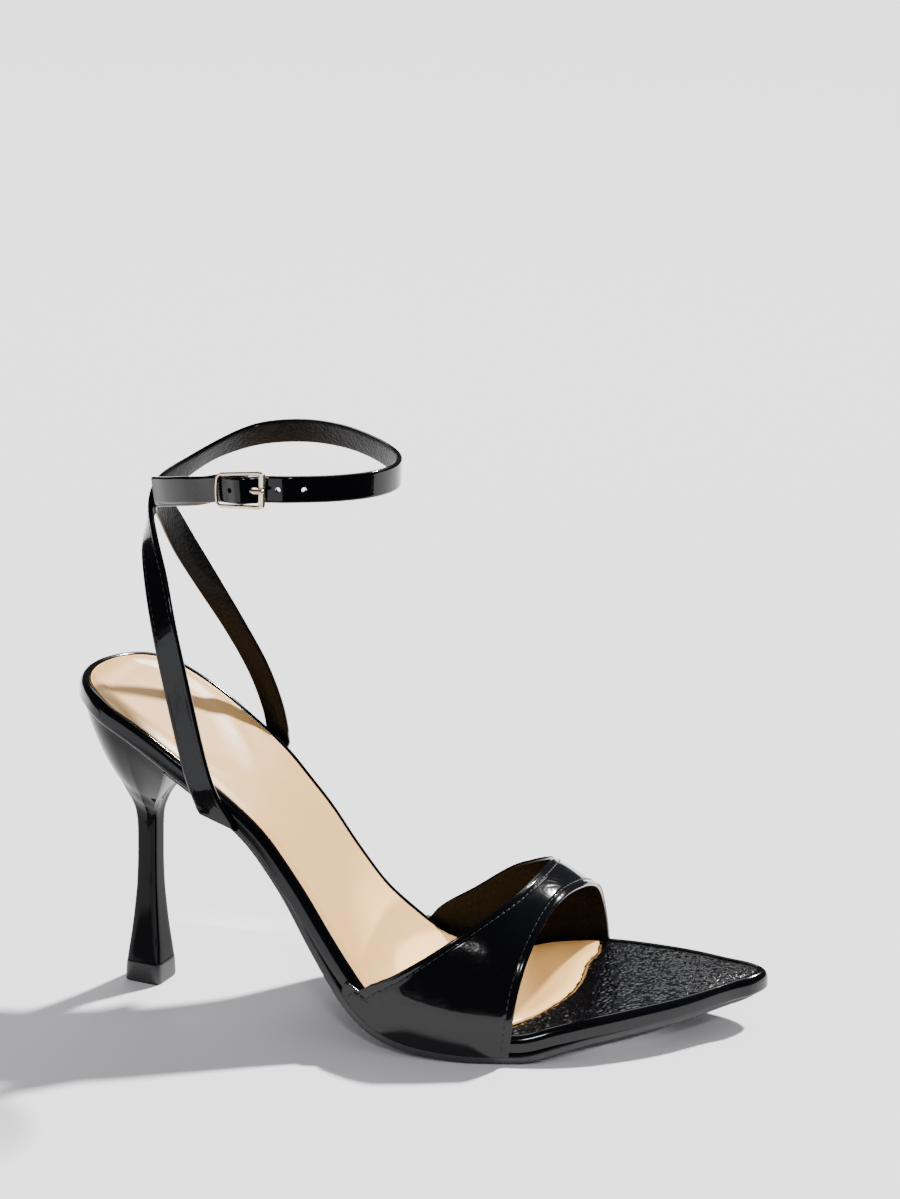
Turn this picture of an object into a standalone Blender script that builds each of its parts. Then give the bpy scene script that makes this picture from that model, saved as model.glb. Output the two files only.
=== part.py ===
"""Strappy heeled sandal, right shoe, in black patent with a nude padded sock.

Frame: +X toward the toe, +Y toward the medial (inner) side, +Z up. The origin is the centre of
the heel's ground face. Lengths are metres. Every curved piece is worked out from the last: a
centre line with a width and a height at each share of the footbed's length.
"""
import math

import bmesh
import bpy
import numpy as np
from mathutils import Matrix, Vector

# Footbed and sole
LENGTH = 0.2005          # footbed, heel end to toe tip, along the floor
HEEL_END = -0.0195       # footbed's heel end, from the heel's centre
BALL_WIDTH = 0.0744      # footbed at the ball
HEEL_RISE = 0.0820       # seat above the ball, over the heel's centre
TOE_SPRING = 0.0083      # toe tip above the ball
HEEL_ROUND = 0.0205      # length of the round heel end
TOE_ROUND = 0.0060       # length of the round toe tip
BOARD = 0.0050           # wrapped footbed board
OUTSOLE = 0.0020
SOCK = 0.0012
RIM = 0.0027             # board's rolled rim beside the sock
CLEARANCE = 0.0003       # between touching pieces

# Heel
TOP_PIECE = 0.0062       # height of the heel's wearing piece
HEEL_FOOT = 0.0118       # side of the heel's ground face
HEEL_TURN = math.radians(-12)
SEAT_LENGTH = 0.0375     # heel end to the top of the heel's front face
CORNER_POWER = 4.5       # how square the heel's column is

# Upper
VAMP_WALL = 0.0014
INSTEP = 0.0368          # vamp's crown above the footbed, at its rear edge
ARCH_POWER = 2.02        # fullness of the vamp across the foot
STRAP_WIDTH = 0.0074
STRAP = 0.0016           # thickness of the ankle straps
ANKLE = 0.1580           # height of the ankle loop
LOOP_LENGTH = 0.0720     # ankle loop, front to back
LOOP_WIDTH = 0.0600      # ankle loop, side to side
LOOP_CENTRE = (0.0365, 0.0025)
HOLE = 0.0018            # holes of the long strap
HOLE_PITCH = 0.0069
PRONG_HOLE = (0.0027, 0.0016)

# Buckle
BUCKLE_LONG = 0.0142
BUCKLE_TALL = 0.0100
BUCKLE_WIRE = 0.0011
BAR_WIRE = 0.0010
BAR_DEPTH = 0.0020       # centre bar behind the buckle's face
PRONG_WIRE = 0.0008
PRONG_SWELL = (1.0, 1.4, 1.5, 1.4, 1.1)  # from the prong's tip, of its wire
BUCKLE_PLACE = (0.0345, -0.0288, 0.1583)
BUCKLE_HEADING = math.radians(-4)
BUCKLE_CLIMB = 0.077     # rise of the band through the buckle

SECTIONS = 58            # stations along the footbed
HEEL_SIDES = 40

# The last. share of the length; centre and half width, of the ball width; rise, of the heel
# rise; spring, of the toe spring; sole_in, the outsole's edge inside the board's, of the board;
# bank, degrees that the arch's inner side stands above its outer side.
LAST_COLUMNS = ("share", "centre", "half", "rise", "spring", "sole_in", "bank")
LAST = (
    (0.00, 0.027, 0.333, 1.070, 0.00, 0.60, 0.0),
    (0.05, 0.016, 0.344, 1.051, 0.00, 0.60, 0.0),
    (0.10, 0.003, 0.358, 0.999, 0.00, 0.60, 0.0),
    (0.15, -0.011, 0.363, 0.932, 0.00, 0.60, 0.0),
    (0.20, -0.025, 0.363, 0.850, 0.00, 0.60, 0.0),
    (0.25, -0.036, 0.359, 0.765, 0.00, 0.60, 0.0),
    (0.30, -0.043, 0.356, 0.655, 0.00, 0.60, 0.0),
    (0.35, -0.044, 0.366, 0.504, 0.00, 0.55, 1.8),
    (0.40, -0.039, 0.398, 0.318, 0.00, 0.10, 4.4),
    (0.45, -0.028, 0.442, 0.152, 0.00, -0.28, 6.0),
    (0.50, -0.015, 0.478, 0.056, 0.00, -0.28, 4.2),
    (0.55, 0.005, 0.499, 0.014, 0.00, -0.28, 0.9),
    (0.59, 0.022, 0.503, 0.000, 0.00, -0.28, 0.0),
    (0.65, 0.047, 0.491, 0.000, 0.00, -0.28, 0.0),
    (0.70, 0.070, 0.466, 0.000, 0.27, -0.15, 0.0),
    (0.75, 0.094, 0.430, 0.000, 0.51, 0.10, 0.0),
    (0.80, 0.121, 0.379, 0.000, 0.66, 0.20, 0.0),
    (0.85, 0.149, 0.315, 0.000, 0.76, 0.34, 0.0),
    (0.90, 0.179, 0.237, 0.000, 0.85, 0.48, 0.0),
    (0.95, 0.207, 0.137, 0.000, 0.93, 0.60, 0.0),
    (1.00, 0.236, 0.062, 0.000, 1.00, 0.70, 0.0),
)

# Board's side. inset from the outline and drop below the rim, both of the board's thickness.
BOARD_SIDE = (
    (0.42, 0.00),
    (0.22, 0.04),
    (0.08, 0.16),
    (0.00, 0.42),
    (0.03, 0.72),
    (0.14, 0.93),
    (0.30, 1.00),
)

# Heel above its foot. height and size of the column; flare out to the seat; climb to the seat.
HEEL_COLUMNS = ("height", "size", "flare", "climb")
HEEL_ROWS = (
    (0.000, 0.955, 0.00, 0.00),
    (0.090, 0.880, 0.00, 0.00),
    (0.220, 0.770, 0.00, 0.00),
    (0.400, 0.650, 0.00, 0.00),
    (0.600, 0.555, 0.00, 0.00),
    (0.800, 0.525, 0.00, 0.00),
    (0.940, 0.525, 0.00, 0.00),
    (1.000, 0.530, 0.01, 0.05),
    (1.000, 0.540, 0.04, 0.13),
    (1.000, 0.560, 0.10, 0.20),
    (1.000, 0.580, 0.19, 0.27),
    (1.000, 0.600, 0.29, 0.35),
    (1.000, 0.620, 0.43, 0.44),
    (1.000, 0.640, 0.58, 0.55),
    (1.000, 0.660, 0.74, 0.69),
    (1.000, 0.680, 0.90, 0.86),
    (1.000, 0.700, 1.00, 1.00),
)
COLUMN_TOP = 0.0480      # height at which the heel starts to flare

# Vamp. across, lateral foot to medial foot; rear and front edges, of the length.
VAMP_COLUMNS = ("across", "rear", "front")
VAMP_ROWS = (
    (0.00, 0.437, 0.642),
    (0.04, 0.431, 0.641),
    (0.07, 0.435, 0.642),
    (0.09, 0.456, 0.643),
    (0.14, 0.487, 0.646),
    (0.19, 0.525, 0.652),
    (0.25, 0.577, 0.665),
    (0.31, 0.620, 0.681),
    (0.37, 0.646, 0.700),
    (0.44, 0.668, 0.719),
    (0.52, 0.684, 0.740),
    (0.60, 0.690, 0.757),
    (0.66, 0.677, 0.760),
    (0.72, 0.647, 0.763),
    (0.80, 0.601, 0.771),
    (0.86, 0.557, 0.776),
    (0.92, 0.507, 0.780),
    (1.00, 0.478, 0.781),
)
VAMP_SKIRT = 0.07        # share of the vamp beside the board, at each side

# Front edge of the sock. across the footbed, from -1 lateral to 1 medial; share of the length.
SOCK_FRONT = (
    (-1.00, 0.612),
    (-0.74, 0.648),
    (-0.50, 0.694),
    (-0.26, 0.720),
    (0.02, 0.734),
    (0.43, 0.744),
    (0.70, 0.760),
    (1.00, 0.765),
)

# Crown of the vamp above the footbed. share of the length; height, of the instep.
CROWN = (
    (0.4, 1.35),
    (0.5, 1.29),
    (0.6, 1.16),
    (0.65, 1.05),
    (0.7, 0.895),
    (0.725, 0.785),
    (0.75, 0.665),
    (0.8, 0.49),
)

# Long strap, from the footbed's lateral side up and round the ankle to its tail.
# along and aside, of half the loop's length and width from its centre; height, of the ankle
# height; facing, degrees in plan; width, of the strap's.
STRAP_COLUMNS = ("along", "aside", "height", "facing", "width")
LONG_STRAP = (
    (-0.205, -1.108, 0.397, -90, 0.55),
    (-0.265, -1.116, 0.420, -92, 0.90),
    (-0.325, -1.118, 0.451, -93, 1.00),
    (-0.392, -1.102, 0.494, -90, 1.00),
    (-0.552, -1.041, 0.627, -87, 1.00),
    (-0.682, -0.937, 0.728, -93, 1.00),
    (-0.800, -0.755, 0.810, -101, 1.00),
    (-0.915, -0.515, 0.876, -128, 1.00),
    (-0.980, -0.195, 0.917, -168, 1.00),
    (-0.965, 0.120, 0.942, -198, 1.00),
    (-0.835, 0.480, 0.966, -222, 1.00),
    (-0.640, 0.790, 0.991, -243, 1.00),
    (-0.370, 0.975, 1.012, -261, 1.00),
    (-0.010, 1.005, 1.023, -274, 1.00),
    (0.350, 0.870, 1.024, -291, 1.00),
    (0.680, 0.600, 1.017, -312, 1.00),
    (0.920, 0.220, 1.010, -339, 1.00),
    (0.990, -0.190, 1.008, -367, 1.00),
    (0.880, -0.560, 1.008, -397, 1.00),
    (0.640, -0.800, 1.007, -421, 1.00),
)
TAIL = (
    (-0.389, -0.883, 0.990, -462, 1.00),
    (-0.569, -0.783, 0.982, -468, 1.00),
    (-0.736, -0.647, 0.972, -474, 1.00),
    (-0.875, -0.490, 0.963, -479, 1.00),
)
# Short strap, from the medial side up and round the back to the buckle.
SHORT_STRAP = (
    (-0.090, 0.775, 0.405, 86, 0.75),
    (-0.140, 0.790, 0.443, 86, 0.90),
    (-0.190, 0.795, 0.494, 84, 0.90),
    (-0.310, 0.765, 0.570, 84, 0.90),
    (-0.490, 0.670, 0.655, 88, 0.90),
    (-0.675, 0.515, 0.740, 104, 0.95),
    (-0.835, 0.320, 0.822, 130, 1.00),
    (-0.930, 0.120, 0.890, 158, 1.00),
    (-0.955, -0.110, 0.931, 182, 1.00),
    (-0.880, -0.385, 0.951, 209, 1.00),
    (-0.700, -0.588, 0.965, 228, 1.00),
    (-0.460, -0.778, 0.980, 243, 1.00),
)


def smooth(rows, column, at):
    """Monotone cubic through one column of a table, against its first column."""
    x = np.array([row[0] for row in rows], float)
    y = np.array([row[column] for row in rows], float)
    t = np.clip(np.asarray(at, float), x[0], x[-1])
    step = np.diff(x)
    grade = np.diff(y) / step
    tangent = np.zeros_like(y)
    tangent[0], tangent[-1] = grade[0], grade[-1]
    for k in range(1, len(x) - 1):
        if grade[k - 1] * grade[k] > 0:
            a = 2 * step[k] + step[k - 1]
            b = step[k] + 2 * step[k - 1]
            tangent[k] = (a + b) / (a / grade[k - 1] + b / grade[k])
    k = np.clip(np.searchsorted(x, t) - 1, 0, len(step) - 1)
    u = (t - x[k]) / step[k]
    return ((1 + 2 * u) * (1 - u) ** 2 * y[k] + u * (1 - u) ** 2 * step[k] * tangent[k]
            + u * u * (3 - 2 * u) * y[k + 1] + u * u * (u - 1) * step[k] * tangent[k + 1])


def last(name, share):
    return smooth(LAST, LAST_COLUMNS.index(name), share)


def rim_height(share):
    stack = BOARD + CLEARANCE + OUTSOLE
    return stack + HEEL_RISE * last("rise", share) + TOE_SPRING * last("spring", share)


def bed(along, aside, drop=0.0, rise=0.0):
    """Point beside the centre line, dropped square to the footbed and raised straight up."""
    share = np.asarray(along, float) / LENGTH
    small = 0.0005
    low, high = np.clip(share - small, 0, 1), np.clip(share + small, 0, 1)
    run = (high - low) * LENGTH
    swing = BALL_WIDTH * (last("centre", high) - last("centre", low)) / run
    fall = (rim_height(high) - rim_height(low)) / run
    flat = np.sqrt(1 + swing ** 2)
    side = np.stack([-swing / flat, 1 / flat, np.tan(np.radians(last("bank", share)))], -1)
    normal = np.cross(np.stack([0 * flat + 1, swing, fall], -1), side)
    normal = normal / np.linalg.norm(normal, axis=-1, keepdims=True)
    centre = np.stack([HEEL_END + share * LENGTH, BALL_WIDTH * last("centre", share),
                       rim_height(share)], -1)
    point = centre + side * np.asarray(aside)[..., None] - normal * np.asarray(drop)[..., None]
    point[..., 2] += rise
    return point


def half_width(along, inset):
    """Half of the footbed's width inside an inset, round at the heel and at the toe."""
    along = np.asarray(along, float)
    plain = BALL_WIDTH * last("half", along / LENGTH) - inset
    heel = np.clip((along - inset) / (HEEL_ROUND - inset), 0, 1)
    toe = np.clip((LENGTH - inset - along) / TOE_ROUND, 0, 1)
    return np.maximum(plain, 0) * np.sqrt(1 - (1 - heel) ** 2) * np.sqrt(1 - (1 - toe) ** 2)


def stations(inset):
    """Places along the footbed inside an inset, closer at both round ends."""
    u = np.linspace(0, 1, SECTIONS + 1)
    return inset + (LENGTH - 2 * inset) * (0.35 * u + 0.65 * (1 - np.cos(math.pi * u)) / 2)


def footbed_ring(inset, drop):
    """Closed loop round the whole footbed: heel end, lateral side, toe tip, medial side."""
    along = stations(inset)
    half = half_width(along, inset)
    half[0] = half[-1] = 0
    lateral = bed(along, -half, drop)
    medial = bed(along[1:-1], half[1:-1], drop)[::-1]
    return np.concatenate([lateral, medial])


def material(name, colour, roughness, metallic=0.0):
    made = bpy.data.materials.new(name)
    made.use_nodes = True
    shader = made.node_tree.nodes["Principled BSDF"]
    shader.inputs["Base Color"].default_value = (*colour, 1.0)
    shader.inputs["Roughness"].default_value = roughness
    shader.inputs["Metallic"].default_value = metallic
    return made


def add(name, mesh, collection, finish=None, cutter=False):
    made = bpy.data.objects.new(name, mesh)
    collection.objects.link(made)
    if finish:
        mesh.materials.append(finish)
    if cutter:
        made.hide_render = True
        made.display_type = "WIRE"
    return made


def mesh_of(name, points, faces):
    mesh = bpy.data.meshes.new(name)
    mesh.from_pydata([tuple(p) for p in points], [], faces)
    work = bmesh.new()
    work.from_mesh(mesh)
    bmesh.ops.remove_doubles(work, verts=work.verts, dist=0.000002)
    bmesh.ops.recalc_face_normals(work, faces=work.faces)
    work.to_mesh(mesh)
    work.free()
    mesh.shade_smooth()
    mesh.set_sharp_from_angle(angle=math.radians(35))
    return mesh


def ladder(start, count, flip):
    """Rungs across a loop whose points pair up on both sides of its first point."""
    faces = [[start, start + 1, start + count - 1]]
    for k in range(1, count // 2 - 1):
        faces.append([start + k, start + k + 1, start + count - k - 1])
        faces.append([start + k, start + count - k - 1, start + count - k])
    mid = count // 2
    faces.append([start + mid - 1, start + mid, start + mid + 1])
    return [face[::-1] for face in faces] if flip else faces


def loft(name, rings):
    """Closed solid through like loops, with both ends closed by rungs."""
    count = len(rings[0])
    points = np.concatenate(rings)
    faces = []
    for r in range(len(rings) - 1):
        for k in range(count):
            n = (k + 1) % count
            faces.append([r * count + k, r * count + n, (r + 1) * count + n, (r + 1) * count + k])
    faces += ladder(0, count, True)
    faces += ladder((len(rings) - 1) * count, count, False)
    return mesh_of(name, points, faces)


def slab(name, top, bottom):
    """Closed solid between two like grids of points, rows along the footbed."""
    rows, columns = top.shape[:2]
    points = np.concatenate([top.reshape(-1, 3), bottom.reshape(-1, 3)])
    under = rows * columns
    faces = []
    for i in range(rows - 1):
        for j in range(columns - 1):
            a, b = i * columns + j, (i + 1) * columns + j
            faces.append([a, b, b + 1, a + 1])
            faces.append([under + a, under + a + 1, under + b + 1, under + b])
    edge = [i * columns for i in range(rows)]
    edge += [(rows - 1) * columns + j for j in range(1, columns)]
    edge += [i * columns + columns - 1 for i in range(rows - 2, -1, -1)]
    edge += [j for j in range(columns - 2, 0, -1)]
    for k, a in enumerate(edge):
        b = edge[(k + 1) % len(edge)]
        faces.append([a, b, under + b, under + a])
    return mesh_of(name, points, faces)


def sock_grid(inset, drop):
    """Rows across the sock, from its round heel end to its slanting curved front edge."""
    rows, columns = 40, 8
    u = 1 - np.cos(np.linspace(0, math.pi / 2, rows))
    v = np.linspace(-1, 1, columns)
    end = smooth(SOCK_FRONT, 1, v) * LENGTH + (RIM - inset)
    along = inset + (end[None, :] - inset) * u[:, None]
    aside = half_width(along, inset) * v[None, :]
    return bed(along, aside, drop)


def sole_ring(extra, drop):
    """Loop round the outsole, from the heel's front face to the toe tip and back."""
    start = SEAT_LENGTH + CLEARANCE
    along = stations(BOARD * BOARD_SIDE[-1][0])
    reach = LENGTH - BOARD * last("sole_in", 1)
    along = np.concatenate([[start], along[(along > start + 0.001) & (along < reach)]])
    inset = BOARD * last("sole_in", along / LENGTH) + extra
    half = half_width(along, inset)
    half[-1] = 0
    lateral = bed(along, -half, drop)
    medial = bed(along[:-1], half[:-1], drop)[::-1]
    return np.concatenate([lateral, medial])


def sole_faces(rings):
    """Outsole from like loops that are open at the heel's front face."""
    count = len(rings[0])
    points = np.concatenate(rings)
    faces = []
    for r in range(len(rings) - 1):
        for k in range(count):
            n = (k + 1) % count
            faces.append([r * count + k, r * count + n, (r + 1) * count + n, (r + 1) * count + k])
    for base, flip in ((0, True), ((len(rings) - 1) * count, False)):
        for k in range(count // 2 - 1):
            for face in ([base + k, base + k + 1, base + count - 2 - k],
                         [base + k, base + count - 2 - k, base + count - 1 - k]):
                faces.append(face[::-1] if flip else face)
        tip = [base + count // 2 - 1, base + count // 2, base + count // 2 + 1]
        faces.append(tip[::-1] if flip else tip)
    return mesh_of("outsole", points, faces)


def heel_angles():
    return np.linspace(0, 2 * math.pi, HEEL_SIDES, endpoint=False)


def column_ring(side, height):
    """Rounded square, turned with the heel."""
    angle = heel_angles()
    c, s = np.cos(angle - HEEL_TURN), np.sin(angle - HEEL_TURN)
    reach = side / 2 / (np.abs(c) ** CORNER_POWER + np.abs(s) ** CORNER_POWER) ** (1 / CORNER_POWER)
    return np.stack([reach * np.cos(angle), reach * np.sin(angle), 0 * angle + height], -1)


def seat_ring():
    """Where rays from the heel's centre meet the seat's outline or the line of its front face."""
    inset = BOARD * BOARD_SIDE[-1][0]
    turn = np.linspace(0, math.pi / 2, 200)
    along = inset + (SEAT_LENGTH - inset) * (1 - np.cos(turn))
    half = half_width(along, inset)
    drop = BOARD + CLEARANCE
    lateral, medial = bed(along, -half, drop), bed(along, half, drop)
    share = np.linspace(-1, 1, 80)[1:-1]
    front = bed(np.full(78, SEAT_LENGTH), half[-1] * share, drop)
    loop = np.concatenate([front, medial[::-1], lateral[1:]])
    bearing = np.arctan2(loop[:, 1], loop[:, 0]) % (2 * math.pi)
    order = np.argsort(bearing)
    angle = heel_angles()
    return np.stack([np.interp(angle, bearing[order], loop[order, i], period=2 * math.pi)
                     for i in range(3)], -1)


def heel_rings():
    seat = seat_ring()
    angle = heel_angles()
    ahead = np.maximum(np.cos(angle), 0)
    rings = []
    for height, size, flare, climb in HEEL_ROWS:
        base = TOP_PIECE + CLEARANCE
        ring = column_ring(HEEL_FOOT * size, base + (COLUMN_TOP - base) * height)
        out = (flare ** (1 + 0.9 * ahead))[:, None]
        mixed = ring * (1 - out) + seat * out
        mixed[:, 2] = ring[:, 2] * (1 - climb) + seat[:, 2] * climb
        rings.append(mixed)
    return rings


def vamp_surface():
    """Grid over the foot, lateral foot to medial foot, from the rear edge to the front edge."""
    across = np.linspace(0, 1, 43)
    forward = np.linspace(0, 1, 9)
    rear = smooth(VAMP_ROWS, 1, across)[:, None]
    front = smooth(VAMP_ROWS, 2, across)[:, None]
    share = rear + (front - rear) * forward[None, :]
    t = np.repeat(across[:, None], len(forward), 1)
    below = np.maximum(np.maximum(VAMP_SKIRT - t, t - 1 + VAMP_SKIRT), 0) / VAMP_SKIRT
    turn = math.pi * np.clip((t - VAMP_SKIRT) / (1 - 2 * VAMP_SKIRT), 0, 1)
    power = 2 / ARCH_POWER
    half = half_width(share * LENGTH, 0) + CLEARANCE
    aside = -half * np.sign(np.cos(turn)) * np.abs(np.cos(turn)) ** power
    rise = INSTEP * smooth(CROWN, 1, share) * np.abs(np.sin(turn)) ** power
    return bed(share * LENGTH, aside, BOARD * below, rise)


def strap_rows(rows):
    """Table rows as places and facings: x, y, z, facing, width, thickness."""
    made = []
    for along, aside, height, facing, width in rows:
        made.append((LOOP_CENTRE[0] + along * LOOP_LENGTH / 2, LOOP_CENTRE[1] + aside * LOOP_WIDTH / 2,
                     height * ANKLE, facing, width * STRAP_WIDTH, STRAP))
    return made


def buckle_point(ahead, out, up=0.0):
    """Place in the buckle's own frame: ahead along the band, out from the ankle, up."""
    c, s = math.cos(BUCKLE_HEADING), math.sin(BUCKLE_HEADING)
    x, y, z = BUCKLE_PLACE
    return (x + ahead * c + out * s, y + ahead * s - out * c, z + ahead * BUCKLE_CLIMB + up)


def ribbon(name, rows):
    """Strap swept along a smooth path through its rows, with chamfered edges."""
    table = np.array(rows, float)
    chord = np.linalg.norm(np.diff(table[:, :3], axis=0), axis=1) ** 0.5
    knots = np.concatenate([[0], np.cumsum(chord)])
    steps = np.concatenate([np.linspace(a, b, 2 if b - a < 0.06 else 4, endpoint=False)
                            for a, b in zip(knots[:-1], knots[1:])] + [[knots[-1]]])
    spots = np.stack([catmull(knots, table[:, i], steps) for i in range(6)], -1)
    ahead = np.gradient(spots[:, :3], axis=0)
    ahead /= np.linalg.norm(ahead, axis=1, keepdims=True)
    angle = np.radians(spots[:, 3])
    out = np.stack([np.cos(angle), np.sin(angle), 0 * angle], -1)
    wide = np.cross(ahead, out)
    wide /= np.linalg.norm(wide, axis=1, keepdims=True)
    out = np.cross(wide, ahead)
    corner = 0.35
    shape = []
    for w, t in ((1, 1), (-1, 1), (-1, -1), (1, -1)):
        near, far = (corner, 0), (0, corner)
        pair = (near, far) if w * t < 0 else (far, near)
        shape += [(w, t, *pair[0]), (w, t, *pair[1])]
    rings = []
    for p, wv, ov, w, t in zip(spots[:, :3], wide, out, spots[:, 4] / 2, spots[:, 5] / 2):
        ring = []
        for sw, st, cw, ct in shape:
            ring.append(p + wv * sw * (w - cw * t) + ov * st * t * (1 - ct))
        rings.append(np.array(ring))
    points = np.concatenate(rings)
    count = len(shape)
    faces = []
    for r in range(len(rings) - 1):
        for k in range(count):
            n = (k + 1) % count
            faces.append([r * count + k, r * count + n, (r + 1) * count + n, (r + 1) * count + k])
    faces.append(list(range(count))[::-1])
    faces.append([(len(rings) - 1) * count + k for k in range(count)])
    return mesh_of(name, points, faces), spots, out


def catmull(knots, values, at):
    """Cubic through unevenly spaced knots, with tangents from the neighbours."""
    tangent = np.gradient(values, knots)
    k = np.clip(np.searchsorted(knots, at, side="right") - 1, 0, len(knots) - 2)
    step = knots[k + 1] - knots[k]
    u = (at - knots[k]) / step
    return ((1 + 2 * u) * (1 - u) ** 2 * values[k] + u * (1 - u) ** 2 * step * tangent[k]
            + u * u * (3 - 2 * u) * values[k + 1] + u * u * (u - 1) * step * tangent[k + 1])


def wire(name, points, radius, collection, closed=False, swell=()):
    """Round wire through points, as a mesh with its caps welded."""
    curve = bpy.data.curves.new(name, "CURVE")
    curve.dimensions = "3D"
    curve.bevel_depth = radius
    curve.bevel_resolution = 2
    curve.use_fill_caps = True
    spline = curve.splines.new("POLY")
    spline.points.add(len(points) - 1)
    for spot, point in zip(spline.points, points):
        spot.co = (*point, 1)
    for spot, size in zip(reversed(spline.points), swell):
        spot.radius = size
    spline.use_cyclic_u = closed
    holder = bpy.data.objects.new(name + "_curve", curve)
    collection.objects.link(holder)
    evaluated = holder.evaluated_get(bpy.context.evaluated_depsgraph_get())
    mesh = bpy.data.meshes.new_from_object(evaluated)
    bpy.data.objects.remove(holder)
    work = bmesh.new()
    work.from_mesh(mesh)
    bmesh.ops.remove_doubles(work, verts=work.verts, dist=0.000002)
    bmesh.ops.recalc_face_normals(work, faces=work.faces)
    work.to_mesh(mesh)
    work.free()
    return mesh


def join(made, other, operation):
    """Boolean of one object with a hidden one."""
    change = made.modifiers.new(operation.lower() + "_" + other.name, "BOOLEAN")
    change.operation = operation
    change.solver = "EXACT"
    change.object = other
    return change


def buckle_loop():
    """Rounded rectangle of the buckle's frame, in its own frame."""
    long, tall = (BUCKLE_LONG - BUCKLE_WIRE) / 2, (BUCKLE_TALL - BUCKLE_WIRE) / 2
    corner = 0.0018
    points = []
    for sa, su, start in ((1, 1, 0), (-1, 1, 90), (-1, -1, 180), (1, -1, 270)):
        for k in range(5):
            a = math.radians(start + k * 22.5)
            points.append(buckle_point(sa * (long - corner) + corner * math.cos(a), 0,
                                       su * (tall - corner) + corner * math.sin(a)))
    return points


def prong_points():
    """Hook round the centre bar, then the arm out through the strap onto the far bar."""
    ring = (BAR_WIRE + PRONG_WIRE) / 2 + CLEARANCE
    reach = (BUCKLE_LONG - BUCKLE_WIRE) / 2
    rest = (BUCKLE_WIRE + 1.4 * PRONG_WIRE) / 2 + CLEARANCE
    points = []
    for k in range(10):
        a = math.radians(10 + 29 * k)
        points.append(buckle_point(ring * math.cos(a), -BAR_DEPTH - ring * math.sin(a)))
    for ahead, out in ((0.24, -0.95), (0.38, -0.90), (0.46, -0.45), (0.54, 0.45), (0.66, 0.95),
                       (0.84, 1.0), (1.0, 1.0), (1.1, 0.9)):
        points.append(buckle_point(ahead * reach, out * rest))
    return points


def plug(name, spot, facing, long, wide, collection):
    """Hidden oval post across the strap, for one hole."""
    work = bmesh.new()
    bmesh.ops.create_cone(work, cap_ends=True, segments=12, radius1=0.5, radius2=0.5, depth=0.006)
    mesh = bpy.data.meshes.new(name)
    work.to_mesh(mesh)
    work.free()
    axis = Vector(facing)
    ahead = Vector((0, 0, 1)).cross(axis).normalized()
    turn = Matrix((ahead * long, axis.cross(ahead) * wide, axis)).transposed().to_4x4()
    mesh.transform(Matrix.Translation(spot) @ turn)
    return add(name, mesh, collection, cutter=True)


def strap_holes(spots, out, collection):
    """Holes at one pitch along the strap, counted from the one that the prong goes through."""
    prong = np.array(buckle_point(0.27 * BUCKLE_LONG, -BAR_DEPTH / 4))
    gap = np.linalg.norm(spots[:, :3] - prong, axis=1)
    band = int(np.argmin(gap))
    run = np.concatenate([[0], np.cumsum(np.linalg.norm(np.diff(spots[:, :3], axis=0), axis=1))])
    made = [plug("prong_hole", prong, out[band], *PRONG_HOLE, collection)]
    for count in (-2, -1, 1):
        at = run[band] + count * HOLE_PITCH
        spot = [np.interp(at, run, spots[:, i]) for i in range(3)]
        made.append(plug("hole", spot, out[int(np.argmin(abs(run - at)))], HOLE, HOLE, collection))
    return made


def long_strap_rows():
    """Side, loop, the run under, over and under the buckle's bars, and the tail."""
    under = -(BUCKLE_WIRE / 2 + CLEARANCE + STRAP / 2)
    over = -BAR_DEPTH + BAR_WIRE / 2 + 2 * CLEARANCE + STRAP
    reach = (BUCKLE_LONG - BUCKLE_WIRE) / 2
    facing = math.degrees(BUCKLE_HEADING) - 450
    rows = strap_rows(LONG_STRAP)
    for ahead, out in ((2.0 * reach, under - 0.0003), (reach, under), (0.5 * reach, (under + over) / 2),
                       (0, over), (-0.5 * reach, (under + over) / 2), (-reach, under)):
        rows.append((*buckle_point(ahead, out), facing, STRAP_WIDTH, STRAP))
    return rows + strap_rows(TAIL)


def short_strap_rows():
    """Side, back of the ankle, and the thinned end folded round the buckle's centre bar."""
    skived = STRAP / 2
    fold = BAR_WIRE / 2 + CLEARANCE + skived / 2
    under = -(BUCKLE_WIRE / 2 + STRAP + 2 * CLEARANCE + skived / 2)
    reach = (BUCKLE_LONG - BUCKLE_WIRE) / 2
    facing = math.degrees(BUCKLE_HEADING) + 270
    rows = strap_rows(SHORT_STRAP)
    rows.append((*buckle_point(-1.05 * reach, under), facing, STRAP_WIDTH, skived))
    rows.append((*buckle_point(-0.55 * reach, (under - BAR_DEPTH + fold) / 2), facing,
                 STRAP_WIDTH, skived))
    for k in range(7):
        turn = math.pi * k / 6
        rows.append((*buckle_point(fold * math.sin(turn), -BAR_DEPTH + fold * math.cos(turn)),
                     facing + math.degrees(turn), STRAP_WIDTH, skived))
    for ahead, out in ((-0.4, -BAR_DEPTH - 1.3 * fold), (-0.75, under - 1.2 * skived)):
        rows.append((*buckle_point(ahead * reach, out), facing + 180, STRAP_WIDTH, skived))
    return rows


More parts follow.
